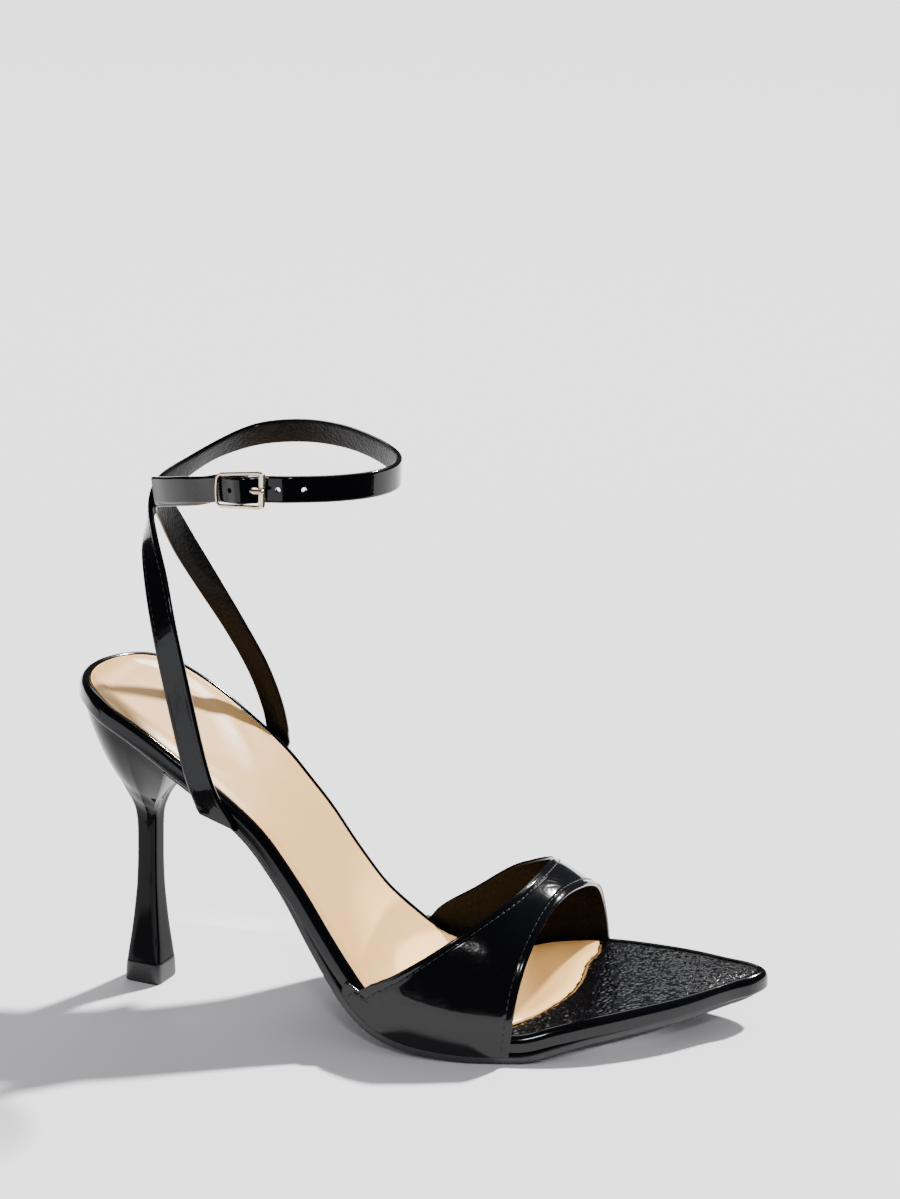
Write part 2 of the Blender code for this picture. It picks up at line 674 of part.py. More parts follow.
def build():
    for old in list(bpy.data.objects):
        bpy.data.objects.remove(old)
    parts = bpy.data.collections.new("strappy_heeled_sandal")
    cutters = bpy.data.collections.new("cutters")
    bpy.context.scene.collection.children.link(parts)
    bpy.context.scene.collection.children.link(cutters)
    patent = material("black_patent", (0.012, 0.012, 0.014), 0.12)
    nude = material("nude_lining", (0.80, 0.58, 0.42), 0.42)
    rubber = material("black_rubber", (0.03, 0.03, 0.03), 0.55)
    metal = material("pale_gold", (0.80, 0.74, 0.62), 0.22, 1.0)

    rings = [footbed_ring(BOARD * inset, BOARD * drop) for inset, drop in BOARD_SIDE]
    board = add("footbed_board", loft("footbed_board", rings), parts, patent)
    recess = slab("sock_recess", sock_grid(RIM, -2 * SOCK), sock_grid(RIM, SOCK + CLEARANCE))
    join(board, add("sock_recess", recess, cutters, cutter=True), "DIFFERENCE")

    inset = RIM + CLEARANCE
    add("sock", slab("sock", sock_grid(inset, 0.0), sock_grid(inset, SOCK)), parts, nude)

    drop = BOARD + CLEARANCE
    rings = [sole_ring(0.0002, drop), sole_ring(0.0, drop + 0.0003),
             sole_ring(0.0, drop + OUTSOLE - 0.0005), sole_ring(0.0005, drop + OUTSOLE)]
    add("outsole", sole_faces(rings), parts, rubber)

    add("heel", loft("heel", heel_rings()), parts, patent)
    foot = [column_ring(HEEL_FOOT, 0.0), column_ring(HEEL_FOOT * 0.955, TOP_PIECE)]
    add("top_piece", loft("top_piece", foot), parts, rubber)

    grid = vamp_surface()
    rows, columns = grid.shape[:2]
    faces = [[i * columns + j, i * columns + j + 1, (i + 1) * columns + j + 1, (i + 1) * columns + j]
             for i in range(rows - 1) for j in range(columns - 1)]
    shell = bpy.data.meshes.new("vamp")
    shell.from_pydata([tuple(p) for p in grid.reshape(-1, 3)], [], faces)
    vamp = add("vamp", shell, parts, patent)
    wall = vamp.modifiers.new("wall", "SOLIDIFY")
    wall.thickness = VAMP_WALL
    wall.offset = 1
    wall.use_even_offset = True

    long_mesh, spots, out = ribbon("ankle_straps", long_strap_rows())
    straps = add("ankle_straps", long_mesh, parts, patent)
    for post in strap_holes(spots, out, cutters):
        join(straps, post, "DIFFERENCE")
    short_mesh = ribbon("short_strap", short_strap_rows())[0]
    short = add("short_strap", short_mesh, cutters, cutter=True)
    fold = Vector(buckle_point(0, -BAR_DEPTH)) - Vector(buckle_point(1, -BAR_DEPTH))
    slot = plug("fold_slot", buckle_point(0, -BAR_DEPTH), Vector((0, 0, 1)).cross(fold).normalized(),
                0.0054, PRONG_WIRE + 2.2 * CLEARANCE, cutters)
    join(short, slot, "DIFFERENCE")
    join(straps, short, "UNION")

    frame_mesh = wire("buckle_frame", buckle_loop(), BUCKLE_WIRE / 2, cutters, closed=True)
    frame = add("buckle_frame", frame_mesh, parts, metal)
    tall = (BUCKLE_TALL - BUCKLE_WIRE) / 2
    bar = [buckle_point(0, 0, tall), buckle_point(0, -0.6 * BAR_DEPTH, tall),
           buckle_point(0, -BAR_DEPTH, 0.92 * tall), buckle_point(0, -BAR_DEPTH, -0.92 * tall),
           buckle_point(0, -0.6 * BAR_DEPTH, -tall), buckle_point(0, 0, -tall)]
    bar_mesh = wire("centre_bar", bar, BAR_WIRE / 2, cutters)
    join(frame, add("centre_bar", bar_mesh, cutters, cutter=True), "UNION")
    add("buckle_prong", wire("buckle_prong", prong_points(), PRONG_WIRE / 2, cutters,
                             swell=PRONG_SWELL), parts, metal)


build()
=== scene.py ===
"""Looks of a strappy heeled sandal, right shoe: black patent, nude padded sock, pale gold buckle.

Every piece is worked out from the last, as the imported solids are, and lies where its solid is.
"""
import math

import bmesh
import bpy
import numpy as np
from mathutils import Matrix, Vector


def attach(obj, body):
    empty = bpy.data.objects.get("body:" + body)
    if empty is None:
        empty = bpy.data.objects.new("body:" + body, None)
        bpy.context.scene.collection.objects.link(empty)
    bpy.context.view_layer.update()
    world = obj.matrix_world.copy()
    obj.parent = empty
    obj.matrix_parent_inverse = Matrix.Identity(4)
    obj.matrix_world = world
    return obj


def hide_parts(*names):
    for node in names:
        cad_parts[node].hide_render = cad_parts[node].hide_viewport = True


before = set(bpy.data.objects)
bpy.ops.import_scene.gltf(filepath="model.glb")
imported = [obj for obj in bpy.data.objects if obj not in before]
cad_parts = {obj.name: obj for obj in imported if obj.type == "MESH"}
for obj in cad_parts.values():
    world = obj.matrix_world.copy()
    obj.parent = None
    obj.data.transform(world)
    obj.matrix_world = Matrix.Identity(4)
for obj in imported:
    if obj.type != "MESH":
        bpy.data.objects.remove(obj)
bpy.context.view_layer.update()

# Camera. The photo looks from the outer front, a little down, and is turned slightly clockwise.
# Its focal length is in pixels of the photo's height.
PHOTO_HEIGHT = 1199
FOCAL = 3300
SENSOR = 24
EYE = Vector((0.27328, -0.87284, 0.37980))
BEARING, DIP, ROLL = (math.radians(a) for a in (12, 16, 1.5))

back = Vector((math.sin(BEARING) * math.cos(DIP), -math.cos(BEARING) * math.cos(DIP), math.sin(DIP)))
right = Vector((math.cos(BEARING), math.sin(BEARING), 0))
up = back.cross(right)
rolled_right = right * math.cos(ROLL) + up * math.sin(ROLL)
rolled_up = up * math.cos(ROLL) - right * math.sin(ROLL)
lens = bpy.data.cameras.new("photo_view")
lens.sensor_fit = "VERTICAL"
lens.sensor_height = SENSOR
lens.lens = SENSOR * FOCAL / PHOTO_HEIGHT
lens.clip_start = 0.01
camera = bpy.data.objects.new("photo_view", lens)
bpy.context.scene.collection.objects.link(camera)
camera.matrix_world = Matrix.Translation(EYE) @ Matrix((rolled_right, rolled_up, back)).transposed().to_4x4()
bpy.context.scene.camera = camera

# Materials are written as sums: a Term is a socket, and arithmetic on it adds Math nodes. Finish
# holds one material, and its add method makes any other node.


class Term:
    """A shader socket that takes part in arithmetic."""

    def __init__(self, tree, socket):
        self.tree, self.socket = tree, socket

    def math(self, operation, *others):
        """Result of a Math node; its inputs are Terms or numbers."""
        made = self.tree.nodes.new("ShaderNodeMath")
        made.operation = operation
        for slot, value in zip(made.inputs, others):
            if isinstance(value, Term):
                self.tree.links.new(value.socket, slot)
            else:
                slot.default_value = value
        return Term(self.tree, made.outputs[0])

    def __add__(self, other):
        return self.math("ADD", self, other)

    def __rsub__(self, other):
        return self.math("SUBTRACT", other, self)

    def __mul__(self, other):
        return self.math("MULTIPLY", self, other)

    def __lt__(self, other):
        return self.math("LESS_THAN", self, other)

    __radd__ = __add__


class Finish:
    """One material. settings are set on a node before its sockets, which take values or Terms."""

    def __init__(self, name, colour, roughness, metallic=0.0, coat=0.0):
        self.material = bpy.data.materials.new(name)
        self.material.use_nodes = True
        self.tree = self.material.node_tree
        self.shader = self.tree.nodes["Principled BSDF"]
        self.place = self.add("ShaderNodeTexCoord", out="Object")
        self.feed(self.shader, {"Base Color": (*colour, 1), "Roughness": roughness, "Metallic": metallic,
                                "Coat Weight": coat, "Coat Roughness": 0.03})

    def feed(self, node, sockets):
        """Link Terms to a node's sockets, and set the other values."""
        for key, value in sockets.items():
            if isinstance(value, Term):
                self.tree.links.new(value.socket, node.inputs[key])
            else:
                node.inputs[key].default_value = value

    def add(self, kind, settings=None, sockets=None, out=0):
        """Output of a new node."""
        made = self.tree.nodes.new(kind)
        for key, value in (settings or {}).items():
            setattr(made, key, value)
        self.feed(made, sockets or {})
        return Term(self.tree, made.outputs[out])

    def noise(self, scale, detail=2.0, stretch=(1, 1, 1)):
        """Noise in the object's own coordinates."""
        place = self.add("ShaderNodeMapping", {}, {"Vector": self.place, "Scale": stretch})
        return self.add("ShaderNodeTexNoise", {}, {"Vector": place, "Scale": scale, "Detail": detail})

    def bump(self, height, distance, strength, under=None):
        """Normal from a height, over another bump if given."""
        sockets = {"Height": height, "Distance": distance, "Strength": strength}
        if under:
            sockets["Normal"] = under
        return self.add("ShaderNodeBump", {}, sockets)

    def blend(self, factor, first, second):
        """Mix of two colours."""
        sockets = {0: factor, 6: (*first, 1), 7: (*second, 1)}
        return self.add("ShaderNodeMix", {"data_type": "RGBA"}, sockets, out=2)


# Floor and light: a plain pale floor that ends just below the picture, a sun-like key from behind
# on the right, panels for the highlights, and an even fill that only matt surfaces see, so that
# patent mirrors a dark room. A narrow soft bounce goes in under the vamp and isn't mirrored.
FLOOR = ((-4.0, -1.27), (0.0, -0.158), (4.0, 0.95), (4.0, 9.0), (-4.0, 9.0))
plane = bpy.data.meshes.new("floor")
plane.from_pydata([(x, y, 0) for x, y in FLOOR], [], [list(range(len(FLOOR)))])
floor = bpy.data.objects.new("floor", plane)
bpy.context.scene.collection.objects.link(floor)
pale = Finish("pale_floor", (0.86, 0.85, 0.87), 0.9)
pale.feed(pale.shader, {"Specular IOR Level": 0.0})
plane.materials.append(pale.material)


SHOE, UNDER_VAMP = Vector((0.06, 0, 0.06)), Vector((0.116, 0.004, 0.022))


def lamp(name, kind, place, power, tint, size, tall=0.0, target=SHOE):
    """A lamp that shines at its target. size is a sun's angle in degrees, a panel's width or the
    radius of a spot."""
    data = bpy.data.lights.new(name, kind)
    data.energy, data.color = power, tint
    if kind == "SUN":
        data.angle = math.radians(size)
    elif kind == "SPOT":
        data.shadow_soft_size = size
    else:
        data.shape, data.size, data.size_y = "RECTANGLE", size, tall
    holder = bpy.data.objects.new(name, data)
    bpy.context.scene.collection.objects.link(holder)
    aim = target - Vector(place)
    holder.matrix_world = Matrix.Translation(place) @ aim.to_track_quat("-Z", "Y").to_matrix().to_4x4()
    return holder


lamp("key", "SUN", (0.60, 0.86, 1.20), 10.0, (1.0, 0.985, 0.96), 4)
lamp("front", "AREA", (0.42, -1.45, 1.10), 6.0, (1.0, 1.0, 1.0), 0.17, 0.17)
lamp("left_panel", "AREA", (-0.95, -1.25, -0.05), 8.0, (0.97, 0.98, 1.0), 1.6, 0.8)
lamp("back_panel", "AREA", (-0.16, 1.26, 1.33), 6.0, (1.0, 1.0, 1.0), 0.9, 0.6)
bounce = lamp("bounce", "SPOT", (0.56, -0.10, 0.25), 30.0, (0.97, 0.98, 1.0), 0.012, target=UNDER_VAMP)
bounce.data.spot_size, bounce.data.spot_blend = math.radians(7.4), 0.45
bounce.visible_glossy = False

world = bpy.data.worlds.new("studio")
world.use_nodes = True
bpy.context.scene.world = world
sky = world.node_tree
ray = sky.nodes.new("ShaderNodeLightPath")
even, room = sky.nodes["Background"], sky.nodes.new("ShaderNodeBackground")
even.inputs["Color"].default_value = (0.40, 0.40, 0.43, 1)
room.inputs["Color"].default_value = (0.05, 0.05, 0.06, 1)
mix = sky.nodes.new("ShaderNodeMixShader")
sky.links.new(ray.outputs["Is Glossy Ray"], mix.inputs[0])
sky.links.new(even.outputs[0], mix.inputs[1])
sky.links.new(room.outputs[0], mix.inputs[2])
sky.links.new(mix.outputs[0], sky.nodes["World Output"].inputs["Surface"])

# Footbed board: a shaped fibre board wrapped in black patent, rolled over into a rim that the
# sock lies in. Ahead of the sock the patent is bare and finely crinkled. The last gives its form.
LENGTH = 0.2005
HEEL_END = -0.0195
BALL_WIDTH = 0.0744
HEEL_RISE = 0.0820
TOE_SPRING = 0.0083
HEEL_ROUND = 0.0205
TOE_ROUND = 0.0060
BOARD = 0.0050
OUTSOLE = 0.0020
CLEARANCE = 0.0003
MM = 0.001
LAST = (  # share of the length, centre, half width, heel rise, toe spring, sole edge inside, bank
    (0.00, 0.027, 0.333, 1.070, 0.00, 0.60, 0.0),
    (0.05, 0.016, 0.344, 1.051, 0.00, 0.60, 0.0),
    (0.10, 0.003, 0.358, 0.999, 0.00, 0.60, 0.0),
    (0.15, -0.011, 0.363, 0.932, 0.00, 0.60, 0.0),
    (0.20, -0.025, 0.363, 0.850, 0.00, 0.60, 0.0),
    (0.25, -0.036, 0.359, 0.765, 0.00, 0.60, 0.0),
    (0.30, -0.043, 0.356, 0.655, 0.00, 0.60, 0.0),
    (0.35, -0.044, 0.366, 0.504, 0.00, 0.55, 1.8),
    (0.40, -0.039, 0.398, 0.318, 0.00, 0.10, 4.4),
    (0.45, -0.028, 0.442, 0.152, 0.00, -0.28, 6.0),
    (0.50, -0.015, 0.478, 0.056, 0.00, -0.28, 4.2),
    (0.55, 0.005, 0.499, 0.014, 0.00, -0.28, 0.9),
    (0.59, 0.022, 0.503, 0.000, 0.00, -0.28, 0.0),
    (0.65, 0.047, 0.491, 0.000, 0.00, -0.28, 0.0),
    (0.70, 0.070, 0.466, 0.000, 0.27, -0.15, 0.0),
    (0.75, 0.094, 0.430, 0.000, 0.51, 0.10, 0.0),
    (0.80, 0.121, 0.379, 0.000, 0.66, 0.20, 0.0),
    (0.85, 0.149, 0.315, 0.000, 0.76, 0.34, 0.0),
    (0.90, 0.179, 0.237, 0.000, 0.85, 0.48, 0.0),
    (0.95, 0.207, 0.137, 0.000, 0.93, 0.60, 0.0),
    (1.00, 0.236, 0.062, 0.000, 1.00, 0.70, 0.0),
)
SOCK_FRONT = (  # across, from -1 lateral to 1 medial, and share of the length
    (-1.00, 0.612), (-0.74, 0.648), (-0.50, 0.694), (-0.26, 0.720),
    (0.02, 0.734), (0.43, 0.744), (0.70, 0.760), (1.00, 0.765),
)
BOARD_EDGE = (  # inset from the outline and drop below the rim, in mm, from the sock's bed outwards
    (3.20, 0.98), (2.88, 0.95), (2.78, 0.55), (2.66, 0.08), (2.36, -0.20), (1.90, -0.36),
    (1.40, -0.30), (0.92, -0.02), (0.52, 0.44), (0.20, 1.10), (0.03, 1.90), (0.00, 2.70),
    (0.00, 3.80), (0.06, 4.60), (0.24, 4.92), (0.60, 5.00),
)


def smooth(rows, column, at):
    """Monotone cubic through one column of a table, against its first column."""
    x = np.array([row[0] for row in rows], float)
    y = np.array([row[column] for row in rows], float)
    t = np.clip(np.asarray(at, float), x[0], x[-1])
    step = np.diff(x)
    grade = np.diff(y) / step
    before, after = grade[:-1], grade[1:]
    a, b = 2 * step[1:] + step[:-1], step[1:] + 2 * step[:-1]
    same = before * after > 0
    safe = np.where(same, a / np.where(same, before, 1) + b / np.where(same, after, 1), 1)
    tangent = np.concatenate([grade[:1], np.where(same, (a + b) / safe, 0), grade[-1:]])
    k = np.clip(np.searchsorted(x, t) - 1, 0, len(step) - 1)
    u = (t - x[k]) / step[k]
    return ((1 + 2 * u) * (1 - u) ** 2 * y[k] + u * (1 - u) ** 2 * step[k] * tangent[k]
            + u * u * (3 - 2 * u) * y[k + 1] + u * u * (u - 1) * step[k] * tangent[k + 1])


def run_of(points, power=1):
    """Running sum along a line of points, from 0, of the distances between them to a power."""
    return np.concatenate([[0], np.cumsum(np.linalg.norm(np.diff(points, axis=0), axis=1) ** power)])


def smoothed(rows, count):
    """Cubic through points, even in the root of the distance between them: count points."""
    table = np.array(rows, float)
    knots = run_of(table, 0.5)
    at = np.linspace(0, knots[-1], count)
    pairs = [[(knot, value) for knot, value in zip(knots, column)] for column in table.T]
    return np.stack([smooth(pair, 1, at) for pair in pairs], -1)


EASE = ((-1.0, 0.15), (-0.5, 0.22), (0.0, 0.26), (0.5, 0.22), (1.0, 0.15))  # shift, weight


def eased(rows, column, at, reach):
    """The table's curve averaged over a short reach, so that no station shows as a corner. The
    reach falls to nothing at both ends."""
    reach = reach * step_up(np.minimum(at, 1 - at), 0.0, 0.08)
    return sum(share * smooth(rows, column, at + shift * reach) for shift, share in EASE)


def rim_height(share):
    """Height of the board's rim: the sole and the board, plus the heel's rise and the toe spring."""
    return (BOARD + CLEARANCE + OUTSOLE + HEEL_RISE * eased(LAST, 3, share, 0.018)
            + TOE_SPRING * smooth(LAST, 4, share))


def bed(along, aside, drop=0.0, rise=0.0):
    """Point beside the footbed's centre line, dropped square to it and raised straight up."""
    given = [np.asarray(v, float) for v in (along, aside, drop, rise)]
    along, aside, drop, rise = np.broadcast_arrays(*given)
    share = along / LENGTH
    low, high = np.clip(share - 0.0005, 0, 1), np.clip(share + 0.0005, 0, 1)
    run = (high - low) * LENGTH
    swing = BALL_WIDTH * (eased(LAST, 1, high, 0.02) - eased(LAST, 1, low, 0.02)) / run
    fall = (rim_height(high) - rim_height(low)) / run
    flat = np.sqrt(1 + swing ** 2)
    side = np.stack([-swing / flat, 1 / flat, np.tan(np.radians(eased(LAST, 6, share, 0.03)))], -1)
    normal = np.cross(np.stack([0 * flat + 1, swing, fall], -1), side)
    normal = normal / np.linalg.norm(normal, axis=-1, keepdims=True)
    centre = np.stack([HEEL_END + along, BALL_WIDTH * eased(LAST, 1, share, 0.02), rim_height(share)], -1)
    point = centre + side * aside[..., None] - normal * drop[..., None]
    point[..., 2] += rise
    return point


def half_width(along, inset):
    """Half of the footbed's width inside an inset, round at the heel and at the toe."""
    plain = BALL_WIDTH * eased(LAST, 2, along / LENGTH, 0.02) - inset
    heel = np.clip((along - inset) / (HEEL_ROUND - inset), 0, 1)
    toe = np.clip((LENGTH - inset - along) / TOE_ROUND, 0, 1)
    return np.maximum(plain, 0) * np.sqrt(1 - (1 - heel) ** 2) * np.sqrt(1 - (1 - toe) ** 2)


def step_up(value, low, high):
    """Smooth step from 0 at low to 1 at high."""
    u = np.clip((value - low) / (high - low), 0, 1)
    return u * u * (3 - 2 * u)


def sock_front(across):
    """Where the sock ends, along the footbed. across is -1 at the lateral side, 1 at the medial."""
    return LENGTH * smooth(SOCK_FRONT, 1, across)


def grid_faces(rows, columns, first=0, round_rows=False, round_columns=False):
    """Four-sided faces of a grid of points, closed on itself where asked."""
    i = np.arange(rows if round_rows else rows - 1)[:, None]
    j = np.arange(columns if round_columns else columns - 1)[None, :]
    i2, j2 = (i + 1) % rows, (j + 1) % columns
    corners = [i * columns + j, i * columns + j2, i2 * columns + j2, i2 * columns + j]
    return (np.stack(np.broadcast_arrays(*corners), -1).reshape(-1, 4) + first).tolist()


def capped_tube(rows, columns):
    """Faces of a tube made of rings, with one flat face at each end."""
    ends = [list(range(columns)), [(rows - 1) * columns + k for k in range(columns)]]
    return grid_faces(rows, columns, round_columns=True) + ends


MERGE, SLIVER = 0.000004, 0.000002


def piece(name, points, faces, finish, replaced, marks=None, uv=None, sharp=40):
    """One closed surface from points and faces, merged, turned outwards and shaded smooth.
    marks is a value for each point; uv is a pair for each point."""
    mesh = bpy.data.meshes.new(name)
    mesh.from_pydata(np.asarray(points, float).reshape(-1, 3).tolist(), [], faces)
    work = bmesh.new()
    work.from_mesh(mesh)
    if marks is not None:
        layer = work.verts.layers.float.new("mark")
        work.verts.ensure_lookup_table()
        for vertex, value in zip(work.verts, np.asarray(marks, float).ravel()):
            vertex[layer] = value
    if uv is not None:
        layer = work.loops.layers.uv.new("along")
        pairs = np.asarray(uv, float).reshape(-1, 2)
        for face in work.faces:
            for loop in face.loops:
                loop[layer].uv = pairs[loop.vert.index]
    bmesh.ops.remove_doubles(work, verts=work.verts, dist=MERGE)
    bmesh.ops.dissolve_degenerate(work, edges=work.edges, dist=SLIVER)
    bmesh.ops.recalc_face_normals(work, faces=work.faces)
    work.to_mesh(mesh)
    work.free()
    mesh.shade_smooth()
    mesh.set_sharp_from_angle(angle=math.radians(sharp))
    made = bpy.data.objects.new(name, mesh)
    bpy.context.scene.collection.objects.link(made)
    mesh.materials.append(finish.material)
    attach(made, "root")
    if replaced:
        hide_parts(replaced)
    return made


BLACK = (0.0016, 0.0017, 0.0024)


def patent(name, ripple=1.0, crinkled=False):
    """Black patent: a dark coat under clear varnish, gently rippled. Where the piece's mark is
    set the varnish is broken into the small cells of crinkled patent."""
    made = Finish(name, BLACK, 0.16, coat=1.0)
    made.feed(made.shader, {"Specular IOR Level": 0.10, "Coat IOR": 1.31})
    slow = made.noise(70, 1.0)
    quick = made.noise(460, 2.0)
    normal = made.bump(slow, 0.0011 * ripple, 0.55)
    normal = made.bump(quick, 0.00011 * ripple, 0.6, normal)
    if crinkled:
        mark = made.add("ShaderNodeAttribute", {"attribute_name": "mark"}, out="Fac")
        cells = made.add("ShaderNodeTexVoronoi", {"feature": "SMOOTH_F1"},
                         {"Vector": made.place, "Scale": 1150, "Smoothness": 0.4})
        broken = made.noise(700, 3.0, (1, 2.2, 1))
        normal = made.bump((cells * 0.5 + broken) * mark, 0.00030, 0.9, normal)
        made.feed(made.shader, {"Roughness": 0.14 + mark * 0.06})
    made.feed(made.shader, {"Normal": normal})
    return made


WAVES, CREASE_DEPTH = 26, 0.00026
draw = np.random.default_rng(11)
lengths, angles = draw.uniform(1.3, 2.7, WAVES), draw.normal(1.45, 0.75, WAVES)
CREASES = list(zip(2 * math.pi / lengths, angles, draw.uniform(0, 6.28, WAVES)))


def creased(along, aside):
    """Relief of the crinkled patent, 0 to 1: waves 1.3 to 2.7 mm long, mostly across the toe, are
    added, and the sheet is sharply creased down along the lines where their sum is zero."""
    x, y = along / MM, aside / MM
    x, y = x + 0.9 * np.sin(y * 0.9 + 0.3), y + 0.7 * np.sin(x * 0.8)
    total = sum(np.sin(k * (x * math.cos(a) + y * math.sin(a)) + f) for k, a, f in CREASES)
    return np.tanh(np.abs(total / WAVES ** 0.5) * 1.3)


def bareness(place, across):
    """0 under the sock, 1 on the bare toe ahead of it."""
    end = sock_front(across * 0.97)
    return step_up(place, end - 0.0005, end + 0.0020)


COUNT, TOP_ACROSS, BOTTOM_ACROSS = 450, 150, 8
ROLL = 0.0022       # inset within which the rim is rolled
BARE_DROP = 0.00022  # of the bare toe below the rim
edge = smoothed(BOARD_EDGE, 34) * MM
u = np.linspace(0, 1, COUNT + 1)
spaced = np.where(u < 0.05, 0.01 * (u / 0.05) ** 2, np.interp(u, (0.05, 0.28, 0.90), (0.01, 0.52, 0.97)))
along = LENGTH * np.where(u > 0.90, 1 - 0.03 * ((1 - u) / 0.10) ** 2, spaced)

rings, crinkle = [], []
for inset, drop in edge:
    place = np.clip(along, inset, LENGTH - inset)
    half = half_width(place, inset)
    half[0] = half[-1] = 0
    loop = []
    for sign in (-1, 1):
        bare = bareness(place, sign)
        sunk = drop * (1 - bare) + np.minimum(drop, BARE_DROP) * bare if inset > ROLL else drop
        loop.append((bed(place, sign * half, sunk), bare * step_up(inset, 0.0019, 0.0026) * (drop < 0.002)))
    rings.append(np.concatenate([loop[0][0], loop[1][0][-2:0:-1]]))
    crinkle.append(np.concatenate([loop[0][1], loop[1][1][-2:0:-1]]))
faces = grid_faces(len(rings), 2 * COUNT, round_columns=True)
points, marks = [np.concatenate(rings)], [np.concatenate(crinkle)]
for (inset, drop), top in ((edge[0], True), (edge[-1], False)):
    across = np.linspace(-1, 1, TOP_ACROSS if top else BOTTOM_ACROSS)
    place = np.clip(along, inset, LENGTH - inset)[:, None]
    half = half_width(place[:, 0], inset)
    half[0] = half[-1] = 0
    bare = bareness(place, across)
    sunk = drop * (1 - bare) + BARE_DROP * bare if top else drop + 0 * bare
    if top:
        border = np.minimum(half[:, None] * (1 - np.abs(across)), LENGTH - inset - place)
        relief = creased(place, half[:, None] * across) - 0.3
        sunk -= CREASE_DEPTH * bare * step_up(border, 0, 0.0012) * relief
    faces += grid_faces(COUNT + 1, len(across), sum(len(p.reshape(-1, 3)) for p in points))
    points.append(bed(place, half[:, None] * across, sunk).reshape(-1, 3))
    marks.append((bare if top else 0 * bare).ravel())
patent_board = patent("patent_board", 0.7, crinkled=True)
patent_board.feed(patent_board.shader, {"Coat Roughness": 0.10})
piece("board_wrap", np.concatenate(points), faces, patent_board, "footbed_board",
      marks=np.concatenate(marks))

# Sock: a nude lining sheet over foam, glued into the board's rim. It is crowned, has a soft
# hollow for the heel bounded by the foam's rear edge, and a trimmed front edge.
RIM = 0.0030
UNDERSIDE = 0.0010  # below the rim
FRONT_LIFT, CROWN_RISE, HOLLOW, RIDGE = 0.0004, 0.00045, 0.0008, 0.0002
FOAM_END = 0.050    # rear edge of the foam on the centre line
WAIST, WAIST_PLACE, WAIST_LONG = 0.0024, 0.585, 0.05  # wider rim at the inner side; shares of the length
ROWS, COLUMNS = 230, 90
u = 1 - np.cos(np.linspace(0, math.pi / 2, ROWS))
v = np.sin(np.linspace(-math.pi / 2, math.pi / 2, COLUMNS))
ragged = (np.sin(v * 29 + 0.4) * 0.16 + np.sin(v * 61 + 1.9) * 0.20 + np.sin(v * 97) * 0.16) * MM
end = sock_front(v)[None, :] + ragged * (1 - v ** 8)
place = RIM + (end - RIM) * u[:, None]
half = half_width(place, RIM)
half[0] = 0
waist = WAIST * np.exp(-((place / LENGTH - WAIST_PLACE) / WAIST_LONG) ** 2)
aside = half * v[None, :] - waist * np.maximum(v, 0)
from_side = half - np.abs(aside)
from_heel = place - RIM
from_front = end - place
border = np.minimum(np.minimum(from_side, from_heel * 0.9 + 0.0001), from_front)
crown = CROWN_RISE * step_up(border, 0, 0.0035) - 0.0001
foam_end = FOAM_END - 0.020 * np.abs((aside + 0.004) / 0.022) ** 1.6
hollow = -HOLLOW * step_up(foam_end - place, -0.005, 0.008) * step_up(border, 0.004, 0.0085)
ridge = RIDGE * np.exp(-((place - foam_end - 0.002) / 0.005) ** 2) * step_up(border, 0.004, 0.009)
height = crown + hollow + ridge
front_lift = FRONT_LIFT * step_up(place, end - 0.012, end - 0.002)
top = bed(place, aside, -(height + front_lift) * step_up(border, 0, 0.0006))
under = bed(place, aside, UNDERSIDE - front_lift)
points = np.concatenate([top.reshape(-1, 3), under.reshape(-1, 3)])
faces = grid_faces(ROWS, COLUMNS) + [face[::-1] for face in grid_faces(ROWS, COLUMNS, ROWS * COLUMNS)]
edge_loop = ([i * COLUMNS for i in range(ROWS)] + [(ROWS - 1) * COLUMNS + j for j in range(1, COLUMNS)]
             + [i * COLUMNS + COLUMNS - 1 for i in range(ROWS - 2, -1, -1)] + list(range(COLUMNS - 2, 0, -1)))
for a, b in zip(edge_loop, edge_loop[1:] + edge_loop[:1]):
    faces.append([a, b, ROWS * COLUMNS + b, ROWS * COLUMNS + a])
nude = Finish("nude_lining", (0.78, 0.44, 0.145), 0.36)
mottle = nude.noise(38, 3.0)
nude.feed(nude.shader, {
    "Base Color": nude.blend(mottle, (0.76, 0.42, 0.13), (0.80, 0.46, 0.16)),
    "Roughness": 0.34 + nude.noise(160, 3.0) * 0.14,
    "Normal": nude.bump(nude.noise(2600, 2.0), 0.00003, 0.5, nude.bump(nude.noise(110, 2.0), 0.0004, 0.4))})
piece("padded_sock", points, faces, nude, "sock")

# Outsole: a thin black sheet sole, its edge trimmed and waxed, glued under the board from the
# heel's front face to the toe.
SEAT_LENGTH = 0.0375
SOLE_EDGE = (  # inset and drop below the board, in mm
    (1.20, -0.25), (0.25, -0.25), (0.05, -0.10), (0.00, 0.25),
    (0.00, 1.30), (0.10, 1.75), (0.40, 1.97), (1.00, 2.00),
)
SOLE_COUNT, SOLE_ACROSS = 240, 12
u = np.linspace(0, 1, SOLE_COUNT)
start = SEAT_LENGTH + CLEARANCE
reach = LENGTH - BOARD * smooth(LAST, 5, 1)
place = start + (reach - start) * (0.55 * u + 0.45 * np.sin(u * math.pi / 2))


def sole_half(inset):
    """Half of the sole's width inside an inset from its own edge, closed at the toe."""
    half = half_width(place, BOARD * smooth(LAST, 5, place / LENGTH) + inset)
    half[-1] = 0
    return half


